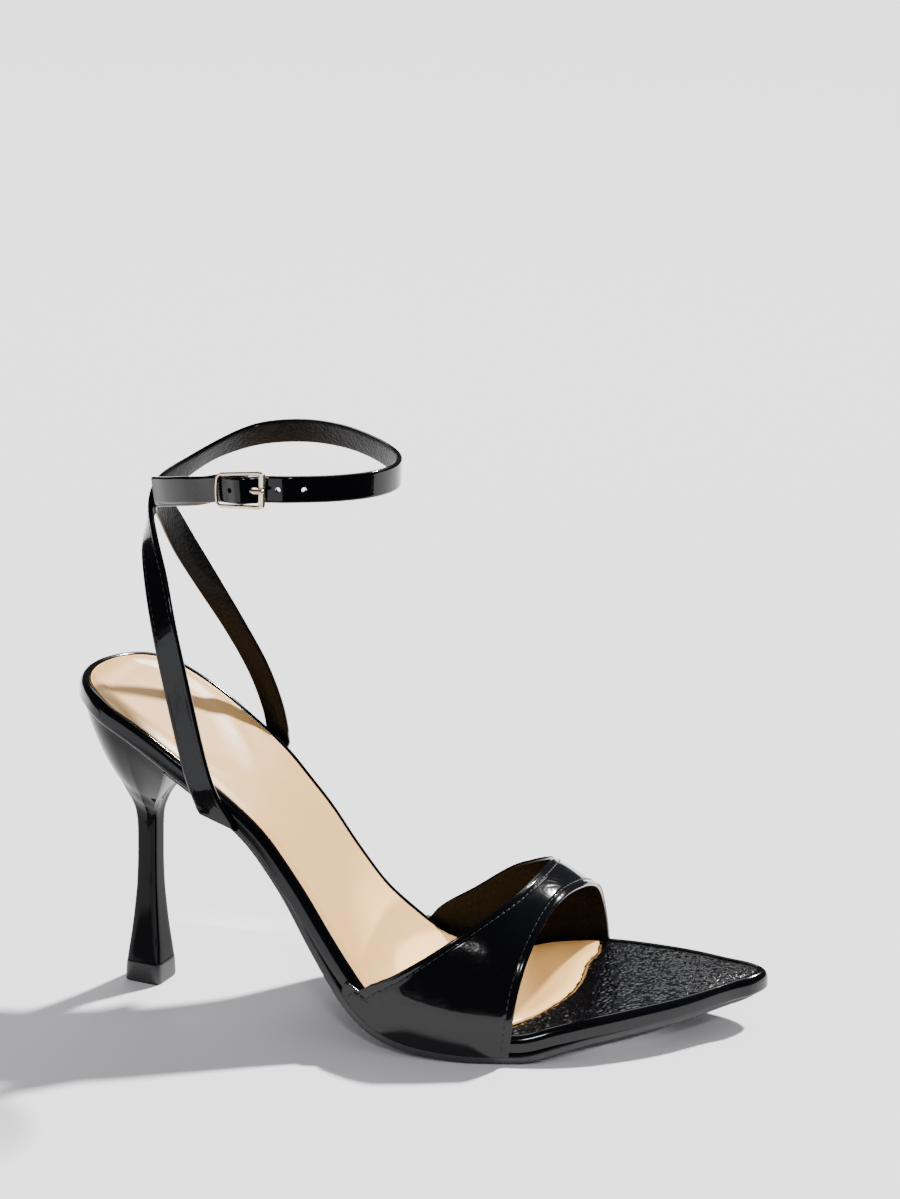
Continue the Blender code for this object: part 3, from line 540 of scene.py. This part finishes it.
rings = []
for inset, drop in smoothed(SOLE_EDGE, 22) * MM:
    half, level = sole_half(inset), BOARD + CLEARANCE + drop
    rings.append(np.concatenate([bed(place, -half, level), bed(place[:-1], half[:-1], level)[::-1]]))
faces = grid_faces(len(rings), 2 * SOLE_COUNT - 1, round_columns=True)
points = [np.concatenate(rings)]
for inset, level in ((SOLE_EDGE[0][0] * MM, SOLE_EDGE[0][1] * MM), (SOLE_EDGE[-1][0] * MM, OUTSOLE)):
    aside = sole_half(inset)[:, None] * np.linspace(-1, 1, SOLE_ACROSS)
    faces += grid_faces(SOLE_COUNT, SOLE_ACROSS, sum(len(p) for p in points))
    points.append(bed(place[:, None], aside, BOARD + CLEARANCE + level).reshape(-1, 3))
rubber = Finish("black_sole", (0.018, 0.018, 0.019), 0.42)
rubber.feed(rubber.shader, {
    "Roughness": 0.36 + rubber.noise(240, 3.0) * 0.16,
    "Normal": rubber.bump(rubber.noise(1900, 3.0), 0.00005, 0.6)})
piece("outsole_sheet", np.concatenate(points), faces, rubber, "outsole")

# Heel: a moulded core wrapped in black patent. Its column is nearly square with a crisp edge
# down the front outer corner, and flares out to the seat. A wearing piece is pinned under it.
TOP_PIECE = 0.0062
HEEL_FOOT = 0.0118
HEEL_TURN = math.radians(-12)
COLUMN_TOP = 0.0480
HEEL_SIDES, HEEL_RINGS, FRONT_STEPS = 176, 110, 160
SEAT_INSET = 0.0015
HEEL_ROWS = (  # row, height and size of the column, flare out to the seat, climb to the seat
    (0, 0.000, 0.955, 0.00, 0.00),
    (1, 0.090, 0.880, 0.00, 0.00),
    (2, 0.220, 0.770, 0.00, 0.00),
    (3, 0.400, 0.650, 0.00, 0.00),
    (4, 0.600, 0.555, 0.00, 0.00),
    (5, 0.800, 0.525, 0.00, 0.00),
    (6, 0.940, 0.525, 0.00, 0.00),
    (7, 1.000, 0.530, 0.01, 0.05),
    (8, 1.000, 0.540, 0.04, 0.13),
    (9, 1.000, 0.560, 0.10, 0.20),
    (10, 1.000, 0.580, 0.19, 0.27),
    (11, 1.000, 0.600, 0.29, 0.35),
    (12, 1.000, 0.620, 0.43, 0.44),
    (13, 1.000, 0.640, 0.58, 0.55),
    (14, 1.000, 0.660, 0.74, 0.69),
    (15, 1.000, 0.680, 0.90, 0.86),
    (16, 1.000, 0.700, 1.00, 1.00),
)
bearing = np.linspace(0, 2 * math.pi, HEEL_SIDES, endpoint=False)


def column_ring(side, height, power=6.0):
    """Rounded square turned with the heel: radius = half side over the power norm of (cos, sin)."""
    c, s = np.abs(np.cos(bearing - HEEL_TURN)), np.abs(np.sin(bearing - HEEL_TURN))
    reach = side / 2 / (c ** power + s ** power) ** (1 / power)
    return np.stack([reach * np.cos(bearing), reach * np.sin(bearing), 0 * bearing + height], -1)


run = SEAT_INSET + (SEAT_LENGTH - SEAT_INSET) * (1 - np.cos(np.linspace(0, math.pi / 2, 400)))
half = half_width(run, SEAT_INSET)
level = BOARD + CLEARANCE
front = bed(SEAT_LENGTH, half[-1] * np.linspace(-1, 1, FRONT_STEPS)[1:-1], level)
outline = np.concatenate([front, bed(run, half, level)[::-1], bed(run, -half, level)[1:]])
turn = np.arctan2(outline[:, 1], outline[:, 0]) % (2 * math.pi)
order = np.argsort(turn)
seat = np.stack([np.interp(bearing, turn[order], column, period=2 * math.pi)
                 for column in outline[order].T], -1)
ahead = np.maximum(np.cos(bearing), 0)
rings = []
base = TOP_PIECE + CLEARANCE
for row in np.linspace(0, len(HEEL_ROWS) - 1, HEEL_RINGS):
    height, size, flare, climb = (smooth(HEEL_ROWS, i, row) for i in (1, 2, 3, 4))
    ring = column_ring(HEEL_FOOT * size, base + (COLUMN_TOP - base) * height)
    out = (flare ** (1 + 0.9 * ahead))[:, None]
    mixed = ring * (1 - out) + seat * out
    mixed[:, 2] = ring[:, 2] * (1 - climb) + seat[:, 2] * climb
    rings.append(mixed)
patent_heel = patent("patent_heel", 0.35)
patent_heel.feed(patent_heel.shader, {"Coat Weight": 0.5, "Specular IOR Level": 0.0})
piece("heel_cover", np.concatenate(rings), capped_tube(len(rings), HEEL_SIDES), patent_heel, "heel",
      sharp=25)

wearing = Finish("top_piece_rubber", (0.012, 0.012, 0.013), 0.38)
wearing.feed(wearing.shader, {"Normal": wearing.bump(wearing.noise(2400, 2.0), 0.00004, 0.5)})
WEARING = (  # share of the foot's side and height
    (0.96, 0.0000), (0.995, 0.0004), (1.0, 0.0009), (0.985, 0.0035),
    (0.965, 0.0056), (0.955, 0.0060), (0.93, TOP_PIECE),
)
rings = [column_ring(HEEL_FOOT * share, height, 7.0) for share, height in WEARING]
piece("wearing_piece", np.concatenate(rings), capped_tube(len(rings), HEEL_SIDES), wearing, "top_piece",
      sharp=30)

# Vamp: one band of patent and lining over the ball, its edges folded in and stitched. Its ends
# go down the board's sides and are caught between board and outsole.
VAMP_WALL = 0.0014
INSTEP = 0.0379
ARCH_POWER = 2.10
VAMP_SKIRT = 0.07
VAMP_ROWS = (  # across the foot from the lateral end, rear and front edge as shares of the length
    (0.00, 0.437, 0.642),
    (0.04, 0.431, 0.641),
    (0.07, 0.435, 0.642),
    (0.09, 0.456, 0.643),
    (0.14, 0.487, 0.646),
    (0.19, 0.525, 0.652),
    (0.25, 0.577, 0.665),
    (0.31, 0.620, 0.681),
    (0.37, 0.646, 0.700),
    (0.44, 0.668, 0.719),
    (0.52, 0.684, 0.740),
    (0.60, 0.690, 0.757),
    (0.66, 0.677, 0.760),
    (0.72, 0.647, 0.763),
    (0.80, 0.601, 0.771),
    (0.86, 0.557, 0.776),
    (0.92, 0.507, 0.780),
    (1.00, 0.478, 0.781),
)
CROWN = (  # share of the length, height above the footbed as a share of the instep
    (0.4, 1.35), (0.5, 1.29), (0.6, 1.16), (0.65, 1.05),
    (0.7, 0.895), (0.725, 0.785), (0.75, 0.665), (0.8, 0.49),
)
VAMP_CREASES = (  # across and forward shares, slant, half length and depth in mm
    (0.430, 0.46, 1.2, 1.5, 0.05), (0.445, 0.52, 1.3, 2.0, 0.07), (0.460, 0.46, 1.1, 1.7, 0.07),
    (0.475, 0.54, 1.3, 1.4, 0.06), (0.415, 0.56, 1.0, 1.2, 0.04), (0.490, 0.48, 1.2, 1.2, 0.04),
)


def vamp_point(t, f):
    """Inner face of the vamp: an arch of superellipses over the footbed, from its rear edge at
    f 0 to its front edge at f 1, with a straight skirt beside the board at both ends."""
    rear, front = eased(VAMP_ROWS, 1, t, 0.045), eased(VAMP_ROWS, 2, t, 0.11)
    share = rear + (front - rear) * f
    below = np.maximum(np.maximum(VAMP_SKIRT - t, t - 1 + VAMP_SKIRT), 0) / VAMP_SKIRT
    turn = math.pi * np.clip((t - VAMP_SKIRT) / (1 - 2 * VAMP_SKIRT), 0, 1)
    power = 2 / ARCH_POWER
    half = half_width(share * LENGTH, 0) + CLEARANCE
    aside = -half * np.sign(np.cos(turn)) * np.abs(np.cos(turn)) ** power
    rise = INSTEP * eased(CROWN, 1, share, 0.012) * np.abs(np.sin(turn)) ** power
    return bed(share * LENGTH, aside, BOARD * below, rise)


def vamp_frame(t, f):
    """Point, outward normal, unit run toward the front edge and the band's width there."""
    small = 0.002
    point = vamp_point(t, f)
    run = vamp_point(t, np.minimum(f + small, 1)) - vamp_point(t, np.maximum(f - small, 0))
    over = vamp_point(np.minimum(t + small, 1), f) - vamp_point(np.maximum(t - small, 0), f)
    normal = np.cross(run, over)
    normal /= np.linalg.norm(normal, axis=-1, keepdims=True)
    wide = np.linalg.norm(vamp_point(t, 1 + 0 * f) - vamp_point(t, 0 * f), axis=-1)
    return point, normal, run / np.linalg.norm(run, axis=-1, keepdims=True), wide


ROLL_STEPS, FACE_STEPS, OVER_STEPS = 7, 60, 360
FOLD, STITCH_IN, STITCH_PITCH = 0.0016, 0.0023, 0.0021
VAMP_THREAD, STRAP_THREAD = 0.00018, 0.00011
BAND_ACROSS = 118  # mm round the foot, at the creases
CREST_BROKEN = 0.04
swing = np.cos(np.linspace(0, math.pi, FACE_STEPS))
span = 0.5 - 0.5 * swing * 0.86 - 0.07 * swing
bend = np.linspace(0, math.pi, ROLL_STEPS + 2)[1:-1]
radius = VAMP_WALL / 2 - 0.00008
profile = ([(f, 1.0, 0.0) for f in span] + [(1.0, math.cos(a), math.sin(a)) for a in bend]
           + [(f, -1.0, 0.0) for f in span[::-1]] + [(0.0, -math.cos(a), -math.sin(a)) for a in bend])
profile = np.array(profile)
t = np.linspace(0, 1, OVER_STEPS)[:, None]
f = np.broadcast_to(profile[None, :, 0], (OVER_STEPS, len(profile)))
point, normal, run, wide = vamp_frame(t + 0 * f, f)
inside = np.minimum(f, 1 - f) * wide
outer = (profile[None, :, 1] > 0.99) * 1.0
lift = outer * (0.00014 * (1 - step_up(inside, FOLD * 0.7, FOLD)) * step_up(inside, 0, 0.0004)
                - 0.00016 * np.exp(-((inside - STITCH_IN) / 0.00035) ** 2))
for at_t, at_f, slant, long, deep in VAMP_CREASES:
    dt, df = (t - at_t) * BAND_ACROSS, (f - at_f) * wide / MM
    down = dt * math.cos(slant) + df * math.sin(slant)
    side = df * math.cos(slant) - dt * math.sin(slant)
    lift -= outer * deep * MM * np.exp(-(side / 0.36) ** 2 - (down / long) ** 4)
out = VAMP_WALL / 2 + radius * profile[None, :, 1] + lift
points = point + normal * out[..., None] + run * (radius * profile[None, :, 2])[..., None]
points -= run * (np.sign(f - 0.5) * (f * (1 - f) == 0) * radius)[..., None]
crest = np.exp(-((t - 0.50) / 0.10) ** 2) * outer * step_up(inside, 0.002, 0.004)


def lined_patent(name, ripple):
    """Patent outside; where the mark is below zero, the wrinkled near-black lining of the inside."""
    made = patent(name, ripple, crinkled=True)
    mark = made.add("ShaderNodeAttribute", {"attribute_name": "mark"}, out="Fac")
    inner = mark < -0.5
    wrinkle = made.noise(300, 3.0, (1, 1, 3))
    made.feed(made.shader, {
        "Base Color": made.blend(inner, BLACK, (0.0034, 0.0032, 0.0034)),
        "Roughness": 0.15 + inner * (0.12 + wrinkle * 0.16),
        "Coat Weight": 1.0 - inner * 0.88})
    return made


marks = np.where(profile[None, :, 1] < -0.99, -1.0, crest * CREST_BROKEN) + 0 * f
patent_vamp = lined_patent("patent_vamp", 1.0)
piece("vamp_band", points, capped_tube(OVER_STEPS, len(profile)), patent_vamp, "vamp", marks=marks)

thread = Finish("black_thread", (0.006, 0.006, 0.007), 0.42)
thread.feed(thread.shader, {"Normal": thread.bump(thread.noise(5200, 1.0), 0.00005, 0.6)})


BEAD_RINGS, BEAD_SIDES = 6, 8


def stitch_row(places, normals, pitch, thick):
    """Stitches along a line, one every pitch. Each is a flat bead: an ellipsoid with half sizes of
    0.4 of the pitch along the line, the thread's radius across it and 0.9 of that in height."""
    run = run_of(places)
    count = int(run[-1] / pitch)
    at = (np.arange(count) + 0.5) * pitch
    spot = np.stack([np.interp(at, run, places[:, i]) for i in range(3)], -1)
    face = np.stack([np.interp(at, run, normals[:, i]) for i in range(3)], -1)
    ahead = np.stack([np.interp(at + pitch * 0.3, run, places[:, i]) for i in range(3)], -1) - spot
    ahead /= np.maximum(np.linalg.norm(ahead, axis=1, keepdims=True), 1e-9)
    face -= ahead * (face * ahead).sum(1, keepdims=True)
    face /= np.linalg.norm(face, axis=1, keepdims=True)
    wide = np.cross(ahead, face)
    tall = np.linspace(0, math.pi, BEAD_RINGS)[:, None]
    spin = np.linspace(0, 2 * math.pi, BEAD_SIDES, endpoint=False)[None, :]
    ball = np.stack([np.cos(tall) + 0 * spin, np.sin(tall) * np.cos(spin), np.sin(tall) * np.sin(spin)], -1)
    ball = ball.reshape(-1, 3) * (0.40 * pitch, thick, 0.9 * thick)
    points = (spot[:, None, :] + ball[None, :, 0, None] * ahead[:, None, :]
              + ball[None, :, 1, None] * wide[:, None, :] + ball[None, :, 2, None] * face[:, None, :])
    faces = [face for k in range(count)
             for face in grid_faces(BEAD_RINGS, BEAD_SIDES, k * len(ball), round_columns=True)]
    return points.reshape(-1, 3), faces


def stitches(name, rows, thick):
    """All the stitch rows of one piece, in one mesh."""
    points, faces, first = [], [], 0
    for spots, normals in rows:
        made, quads = stitch_row(spots, normals, STITCH_PITCH, thick)
        faces += (np.array(quads) + first).tolist()
        points.append(made)
        first += len(made)
    return piece(name, np.concatenate(points), faces, thread, None)


rows = []
t = np.linspace(0.015, 0.985, 400)
wide = np.linalg.norm(vamp_point(t, 1 + 0 * t) - vamp_point(t, 0 * t), axis=-1)
for near in (STITCH_IN / wide, 1 - STITCH_IN / wide):
    point, normal, _, _ = vamp_frame(t, near)
    rows.append((point + normal * (VAMP_WALL - 0.00010), normal))
stitches("vamp_stitches", rows, VAMP_THREAD)

# Ankle straps: narrow folded and stitched strips of patent. The long one comes off the lateral
# side, crosses the back and goes round the ankle to its punched tail; the short one comes off
# the medial side and carries the buckle. They are sewn together where they cross.
ANKLE = 0.1580
LOOP_LENGTH = 0.0720
LOOP_WIDTH = 0.0600
LOOP_CENTRE = (0.0365, 0.0025)
STRAP_WIDTH = 0.0075
STRAP = 0.0016
BUCKLE_LONG, BUCKLE_WIRE = 0.0142, 0.0011
BAR_WIRE, BAR_DEPTH = 0.0010, 0.0020
BUCKLE_PLACE = (0.0345, -0.0288, 0.1583)
BUCKLE_HEADING = math.radians(-4)
BUCKLE_CLIMB = 0.077
HOLE, HOLE_PITCH, PRONG_HOLE, FOLD_SLOT = 0.0015, 0.0069, (0.0027, 0.0016), (0.0054, 0.00146)
LEAN = math.radians(20)  # of the band at its far side and back, its upper edge inwards
ROOT_SKEW = 1.25  # the roots are cut off along the board's lower edge
STRAP_STEPS, POST_SIDES = 22, 28
SEWN = (0.012, 0.100)  # run of the long strap that shows its stitches
LONG_STRAP = (  # along and aside of the loop, height, facing in degrees, width
    (-0.200, -1.104, 0.394, -90, 1.00),
    (-0.262, -1.116, 0.420, -92, 1.00),
    (-0.325, -1.118, 0.451, -93, 1.00),
    (-0.392, -1.102, 0.494, -90, 1.00),
    (-0.552, -1.041, 0.627, -87, 1.00),
    (-0.682, -0.937, 0.728, -93, 1.00),
    (-0.800, -0.755, 0.810, -101, 1.00),
    (-0.915, -0.515, 0.876, -128, 1.00),
    (-0.980, -0.195, 0.917, -168, 1.00),
    (-0.965, 0.120, 0.942, -198, 1.00),
    (-0.835, 0.480, 0.966, -222, 1.00),
    (-0.640, 0.790, 0.991, -243, 1.00),
    (-0.370, 0.975, 1.012, -261, 1.00),
    (-0.010, 1.005, 1.023, -274, 1.00),
    (0.350, 0.870, 1.024, -291, 1.00),
    (0.680, 0.600, 1.017, -312, 1.00),
    (0.920, 0.220, 1.010, -339, 1.00),
    (0.990, -0.190, 1.008, -367, 1.00),
    (0.880, -0.560, 1.008, -397, 1.00),
    (0.640, -0.800, 1.007, -421, 1.00),
)
TAIL = (
    (-0.389, -0.883, 0.990, -462, 1.00),
    (-0.569, -0.783, 0.982, -468, 1.00),
    (-0.736, -0.647, 0.972, -474, 1.00),
    (-0.875, -0.490, 0.963, -479, 1.00),
)
SHORT_STRAP = (
    (-0.090, 0.775, 0.405, 86, 0.75),
    (-0.140, 0.790, 0.443, 86, 0.90),
    (-0.190, 0.795, 0.494, 84, 0.90),
    (-0.310, 0.765, 0.570, 84, 0.90),
    (-0.490, 0.670, 0.655, 88, 0.90),
    (-0.675, 0.515, 0.740, 104, 0.95),
    (-0.835, 0.320, 0.822, 130, 1.00),
    (-0.930, 0.120, 0.890, 158, 1.00),
    (-0.955, -0.110, 0.931, 182, 1.00),
    (-0.880, -0.385, 0.951, 209, 1.00),
    (-0.700, -0.588, 0.965, 228, 1.00),
    (-0.460, -0.778, 0.980, 243, 1.00),
)


def placed(rows):
    """Rows in metres: place, facing, width and thickness."""
    return [(LOOP_CENTRE[0] + a * LOOP_LENGTH / 2, LOOP_CENTRE[1] + b * LOOP_WIDTH / 2, h * ANKLE,
             facing, width * STRAP_WIDTH, STRAP) for a, b, h, facing, width in rows]


def buckle_point(ahead, out, up=0.0):
    """Place in the buckle's own frame: ahead along the band, out from the ankle, up."""
    c, s = math.cos(BUCKLE_HEADING), math.sin(BUCKLE_HEADING)
    x, y, z = BUCKLE_PLACE
    return (x + ahead * c + out * s, y + ahead * s - out * c, z + ahead * BUCKLE_CLIMB + up)


REACH = (BUCKLE_LONG - BUCKLE_WIRE) / 2
under = -(BUCKLE_WIRE / 2 + CLEARANCE + STRAP / 2)
over = -BAR_DEPTH + BAR_WIRE / 2 + 2 * CLEARANCE + STRAP
facing = math.degrees(BUCKLE_HEADING) - 450
long_rows = placed(LONG_STRAP)
for ahead, out in ((2.0 * REACH, under - 0.0003), (REACH, under), (0.5 * REACH, (under + over) / 2),
                   (0, over), (-0.5 * REACH, (under + over) / 2), (-REACH, under)):
    long_rows.append((*buckle_point(ahead, out), facing, STRAP_WIDTH, STRAP))
long_rows += placed(TAIL)

skived = STRAP / 2
fold = BAR_WIRE / 2 + CLEARANCE + skived / 2
under = -(BUCKLE_WIRE / 2 + STRAP + 2 * CLEARANCE + skived / 2)
facing = math.degrees(BUCKLE_HEADING) + 270
short_rows = placed(SHORT_STRAP)
short_rows.append((*buckle_point(-1.05 * REACH, under), facing, STRAP_WIDTH, skived))
short_rows.append((*buckle_point(-0.55 * REACH, (under - BAR_DEPTH + fold) / 2), facing, STRAP_WIDTH, skived))
for k in range(7):
    a = math.pi * k / 6
    short_rows.append((*buckle_point(fold * math.sin(a), -BAR_DEPTH + fold * math.cos(a)),
                       facing + math.degrees(a), STRAP_WIDTH, skived))
for ahead, out in ((-0.4, -BAR_DEPTH - 1.3 * fold), (-0.75, under - 1.2 * skived)):
    short_rows.append((*buckle_point(ahead * REACH, out), facing + 180, STRAP_WIDTH, skived))


def strap_path(rows):
    """Cubic through the rows with tangents from their neighbours: centre, across, outward, width
    and thickness at each step."""
    table = np.array(rows, float)
    knots = run_of(table[:, :3], 0.5)
    at = np.concatenate([np.linspace(a, b, max(3, int(STRAP_STEPS * (b - a) / 0.1)), endpoint=False)
                         for a, b in zip(knots[:-1], knots[1:])] + [[knots[-1]]])
    tangent = np.gradient(table, knots, axis=0)
    k = np.clip(np.searchsorted(knots, at, side="right") - 1, 0, len(knots) - 2)
    step = (knots[k + 1] - knots[k])[:, None]
    u = ((at - knots[k]) / (knots[k + 1] - knots[k]))[:, None]
    spots = ((1 + 2 * u) * (1 - u) ** 2 * table[k] + u * (1 - u) ** 2 * step * tangent[k]
             + u * u * (3 - 2 * u) * table[k + 1] + u * u * (u - 1) * step * tangent[k + 1])
    ahead = np.gradient(spots[:, :3], axis=0)
    ahead /= np.linalg.norm(ahead, axis=1, keepdims=True)
    angle = np.radians(spots[:, 3])
    lean = LEAN * step_up(spots[:, 1], 0.004, 0.028) + LEAN * (
        step_up(spots[:, 1], 0.002, 0.012) * np.exp(-((spots[:, 0] - 0.010) / 0.013) ** 2))
    lean *= step_up(spots[:, 2], 0.143, 0.152)
    out = np.stack([np.cos(angle), np.sin(angle), np.tan(lean)], -1)
    wide = np.cross(ahead, out)
    wide /= np.linalg.norm(wide, axis=1, keepdims=True)
    return spots[:, :3], wide, np.cross(wide, ahead), spots[:, 4:5], spots[:, 5:6]


STRAP_EDGE = (  # across from the middle, as mm inside the edge; out, of the half thickness
    (3.6, 1.00), (2.0, 1.00), (1.55, 1.00), (1.30, 0.985), (1.05, 1.00), (0.70, 1.01), (0.35, 0.94),
    (0.12, 0.72), (0.00, 0.30), (0.00, -0.30), (0.12, -0.72), (0.35, -0.96), (0.9, -1.00), (3.6, -1.00),
)


def strap_ring():
    """Cross-section of a folded strip: beaded outer edges, a stitched groove, a plain inside."""
    half = list(STRAP_EDGE)
    return ([(1, a, b) for a, b in half[1:-1]] + [(0, 0, half[-1][1])]
            + [(-1, a, b) for a, b in half[-2:0:-1]] + [(0, 0, half[0][1])])


def strap(name, rows, finish):
    """A strap: its cross-section swept along the path of its rows."""
    centre, wide, out, width, thick = strap_path(rows)
    ring = strap_ring()
    points, marks = [], []
    ahead = np.cross(out, wide)
    skew = ROOT_SKEW * (1 - step_up(run_of(centre), 0, 0.009))[:, None]
    for sign, inside, level in ring:
        reach = abs(sign) * np.maximum(width / 2 - inside * MM * np.minimum(1, width / STRAP_WIDTH), 0)
        points.append(centre + (wide - ahead * skew) * sign * reach + out * level * thick / 2)
        marks.append(np.full(len(centre), -1.0 if level < -0.9 else 0.0))
    return piece(name, np.stack(points, 1), capped_tube(len(centre), len(ring)), finish, "ankle_straps",
                 marks=np.stack(marks, 1))


patent_straps = lined_patent("patent_straps", 0.8)
long_piece = strap("long_strap", long_rows, patent_straps)
short_piece = strap("short_strap", short_rows, patent_straps)


def post(spot, axis, long, wide, depth=0.006):
    """Oval post across the strap, to punch a hole with."""
    axis = Vector(axis).normalized()
    ahead = Vector((0, 0, 1)).cross(axis).normalized()
    turn = Matrix((ahead * long, axis.cross(ahead) * wide, axis)).transposed().to_4x4()
    mesh = bpy.data.meshes.new("post")
    work = bmesh.new()
    bmesh.ops.create_cone(work, cap_ends=True, segments=POST_SIDES, radius1=0.5, radius2=0.5, depth=depth)
    bmesh.ops.transform(work, matrix=Matrix.Translation(spot) @ turn, verts=work.verts)
    work.to_mesh(mesh)
    work.free()
    made = bpy.data.objects.new("post", mesh)
    bpy.context.scene.collection.objects.link(made)
    return made


def punch(target, posts):
    """Cut the posts out of the strap for good."""
    for other in posts:
        cut = target.modifiers.new("punch", "BOOLEAN")
        cut.operation, cut.solver, cut.object = "DIFFERENCE", "EXACT", other
    holder = target.evaluated_get(bpy.context.evaluated_depsgraph_get())
    mesh = bpy.data.meshes.new_from_object(holder)
    target.modifiers.clear()
    target.data = mesh
    for other in posts:
        bpy.data.objects.remove(other)


centre, wide, out, width, thick = strap_path(long_rows)
prong_place = np.array(buckle_point(0.27 * BUCKLE_LONG, -BAR_DEPTH / 4))
run = run_of(centre)
band = int(np.argmin(np.linalg.norm(centre - prong_place, axis=1)))
posts = [post(prong_place, out[band], *PRONG_HOLE)]
for count in (-2, -1, 1):
    at = run[band] + count * HOLE_PITCH
    spot = [np.interp(at, run, centre[:, i]) for i in range(3)]
    posts.append(post(spot, out[int(np.argmin(abs(run - at)))], HOLE, HOLE))
punch(long_piece, posts)
fold_axis = Vector(buckle_point(0, 0)) - Vector(buckle_point(0, -1))
punch(short_piece, [post(buckle_point(0, -BAR_DEPTH), fold_axis, *FOLD_SLOT)])

rows = []
keep = (run > SEWN[0]) & (run < SEWN[1])
for sign in (-1, 1):
    line = centre + wide * sign * (width / 2 - 1.30 * MM) + out * (thick / 2 - 0.00004)
    rows.append((line[keep], out[keep]))
stitches("strap_stitches", rows, STRAP_THREAD)

# Buckle: a cast pale gold frame with a bowed slim side and a thick one, a centre bar that the
# short strap is folded round, and a prong through the long strap that rests on the thick side.
gold = Finish("pale_gold", (0.94, 0.84, 0.58), 0.28, metallic=1.0)
gold.feed(gold.shader, {"Roughness": 0.22 + gold.noise(500, 3.0) * 0.12,
                        "Normal": gold.bump(gold.noise(900, 2.0), 0.00002, 0.5)})


def tube(path, wide, deep, closed, sides=18):
    """Sweep along a path of an oval with half sizes wide, in the frame's plane, and deep."""
    path, wide, deep = np.array(path, float), np.array(wide, float), np.array(deep, float)
    if closed:
        ahead = np.roll(path, -1, 0) - np.roll(path, 1, 0)
    else:
        ahead = np.gradient(path, axis=0)
    ahead /= np.linalg.norm(ahead, axis=1, keepdims=True)
    out = np.array(fold_axis.normalized())
    side = np.cross(ahead, out)
    side /= np.maximum(np.linalg.norm(side, axis=1, keepdims=True), 1e-6)
    level = np.cross(side, ahead)
    spin = (np.arange(sides) + 0.5) * 2 * math.pi / sides
    points = (path[:, None, :] + np.cos(spin)[None, :, None] * side[:, None, :] * wide[:, None, None]
              + np.sin(spin)[None, :, None] * level[:, None, :] * deep[:, None, None])
    if closed:
        return points.reshape(-1, 3), grid_faces(len(path), sides, round_rows=True, round_columns=True)
    return points.reshape(-1, 3), capped_tube(len(path), sides)


CORNERS = ((6.30, 4.76), (-6.65, 4.46), (-6.65, -4.46), (6.30, -4.76))  # of the centre line, mm
ROUND, BOW, BAR_STEPS, PRONG_STEPS = 1.15, 0.40, 40, 90
path = []
for k, (a, h) in enumerate(CORNERS):
    for turn in np.radians(90 * k + np.linspace(0, 90, 13)):
        path.append((a - math.copysign(ROUND, a) + ROUND * math.cos(turn),
                     h - math.copysign(ROUND, h) + ROUND * math.sin(turn)))
path = np.array(path)
path = np.concatenate([np.linspace(a, b, 6, endpoint=False) for a, b in zip(path, np.roll(path, -1, 0))])
wire_half = (0.34 + 0.20 * step_up(path[:, 0], -6.5, -5.2) + 0.43 * step_up(path[:, 0], 5.4, 6.25)
             - 0.16 * np.exp(-(path[:, 1] / 0.7) ** 2) * (path[:, 0] > 0))
path[:, 0] -= BOW * (1 - (path[:, 1] / 4.32) ** 2) * (path[:, 0] < -6.0)
tall = 4.40 * MM
points, faces = tube([buckle_point(a * MM, 0, h * MM) for a, h in path], wire_half * 1.05 * MM,
                     np.full(len(path), 0.58 * MM), True, 8)
bar = [buckle_point(0, 0, tall), buckle_point(0, -0.6 * BAR_DEPTH, tall),
       buckle_point(0, -BAR_DEPTH, 0.92 * tall), buckle_point(0, -BAR_DEPTH, -0.92 * tall),
       buckle_point(0, -0.6 * BAR_DEPTH, -tall), buckle_point(0, 0, -tall)]
bar_half = np.full(BAR_STEPS, BAR_WIRE / 2)
bar_points, bar_faces = tube(smoothed(bar, BAR_STEPS), bar_half, bar_half, False)
faces += [[k + len(points) for k in face] for face in bar_faces]
piece("buckle", np.concatenate([points, bar_points]), faces, gold, "buckle_frame", sharp=28)

PRONG = 0.0008
ring_radius = (BAR_WIRE + PRONG) / 2 + CLEARANCE
rest = (BUCKLE_WIRE + 1.4 * PRONG) / 2 + CLEARANCE
path = [buckle_point(ring_radius * math.cos(turn), -BAR_DEPTH - ring_radius * math.sin(turn))
        for turn in (math.radians(10 + 29 * k) for k in range(10))]
path += [buckle_point(a * REACH, b * rest) for a, b in (
    (0.24, -0.95), (0.38, -0.90), (0.46, -0.45), (0.54, 0.45),
    (0.66, 0.95), (0.84, 1.0), (1.0, 1.0), (1.1, 0.9))]
line = smoothed(path, PRONG_STEPS)
grow = np.linspace(0, 1, PRONG_STEPS)
radii = PRONG / 2 * (1 + 0.75 * step_up(grow, 0.72, 0.82)) * (1 - 0.35 * step_up(grow, 0.96, 1.0))
curve = bpy.data.curves.new("prong", "CURVE")
curve.dimensions = "3D"
curve.bevel_depth = 1.0
curve.bevel_resolution = 5
curve.use_fill_caps = True
spline = curve.splines.new("POLY")
spline.points.add(len(line) - 1)
for spot, place, size in zip(spline.points, line, radii):
    spot.co, spot.radius = (*place, 1), size
holder = bpy.data.objects.new("prong", curve)
bpy.context.scene.collection.objects.link(holder)
mesh = bpy.data.meshes.new_from_object(holder.evaluated_get(bpy.context.evaluated_depsgraph_get()))
points = [vertex.co[:] for vertex in mesh.vertices]
faces = [list(polygon.vertices) for polygon in mesh.polygons]
bpy.data.objects.remove(holder)
piece("prong", points, faces, gold, "buckle_prong")
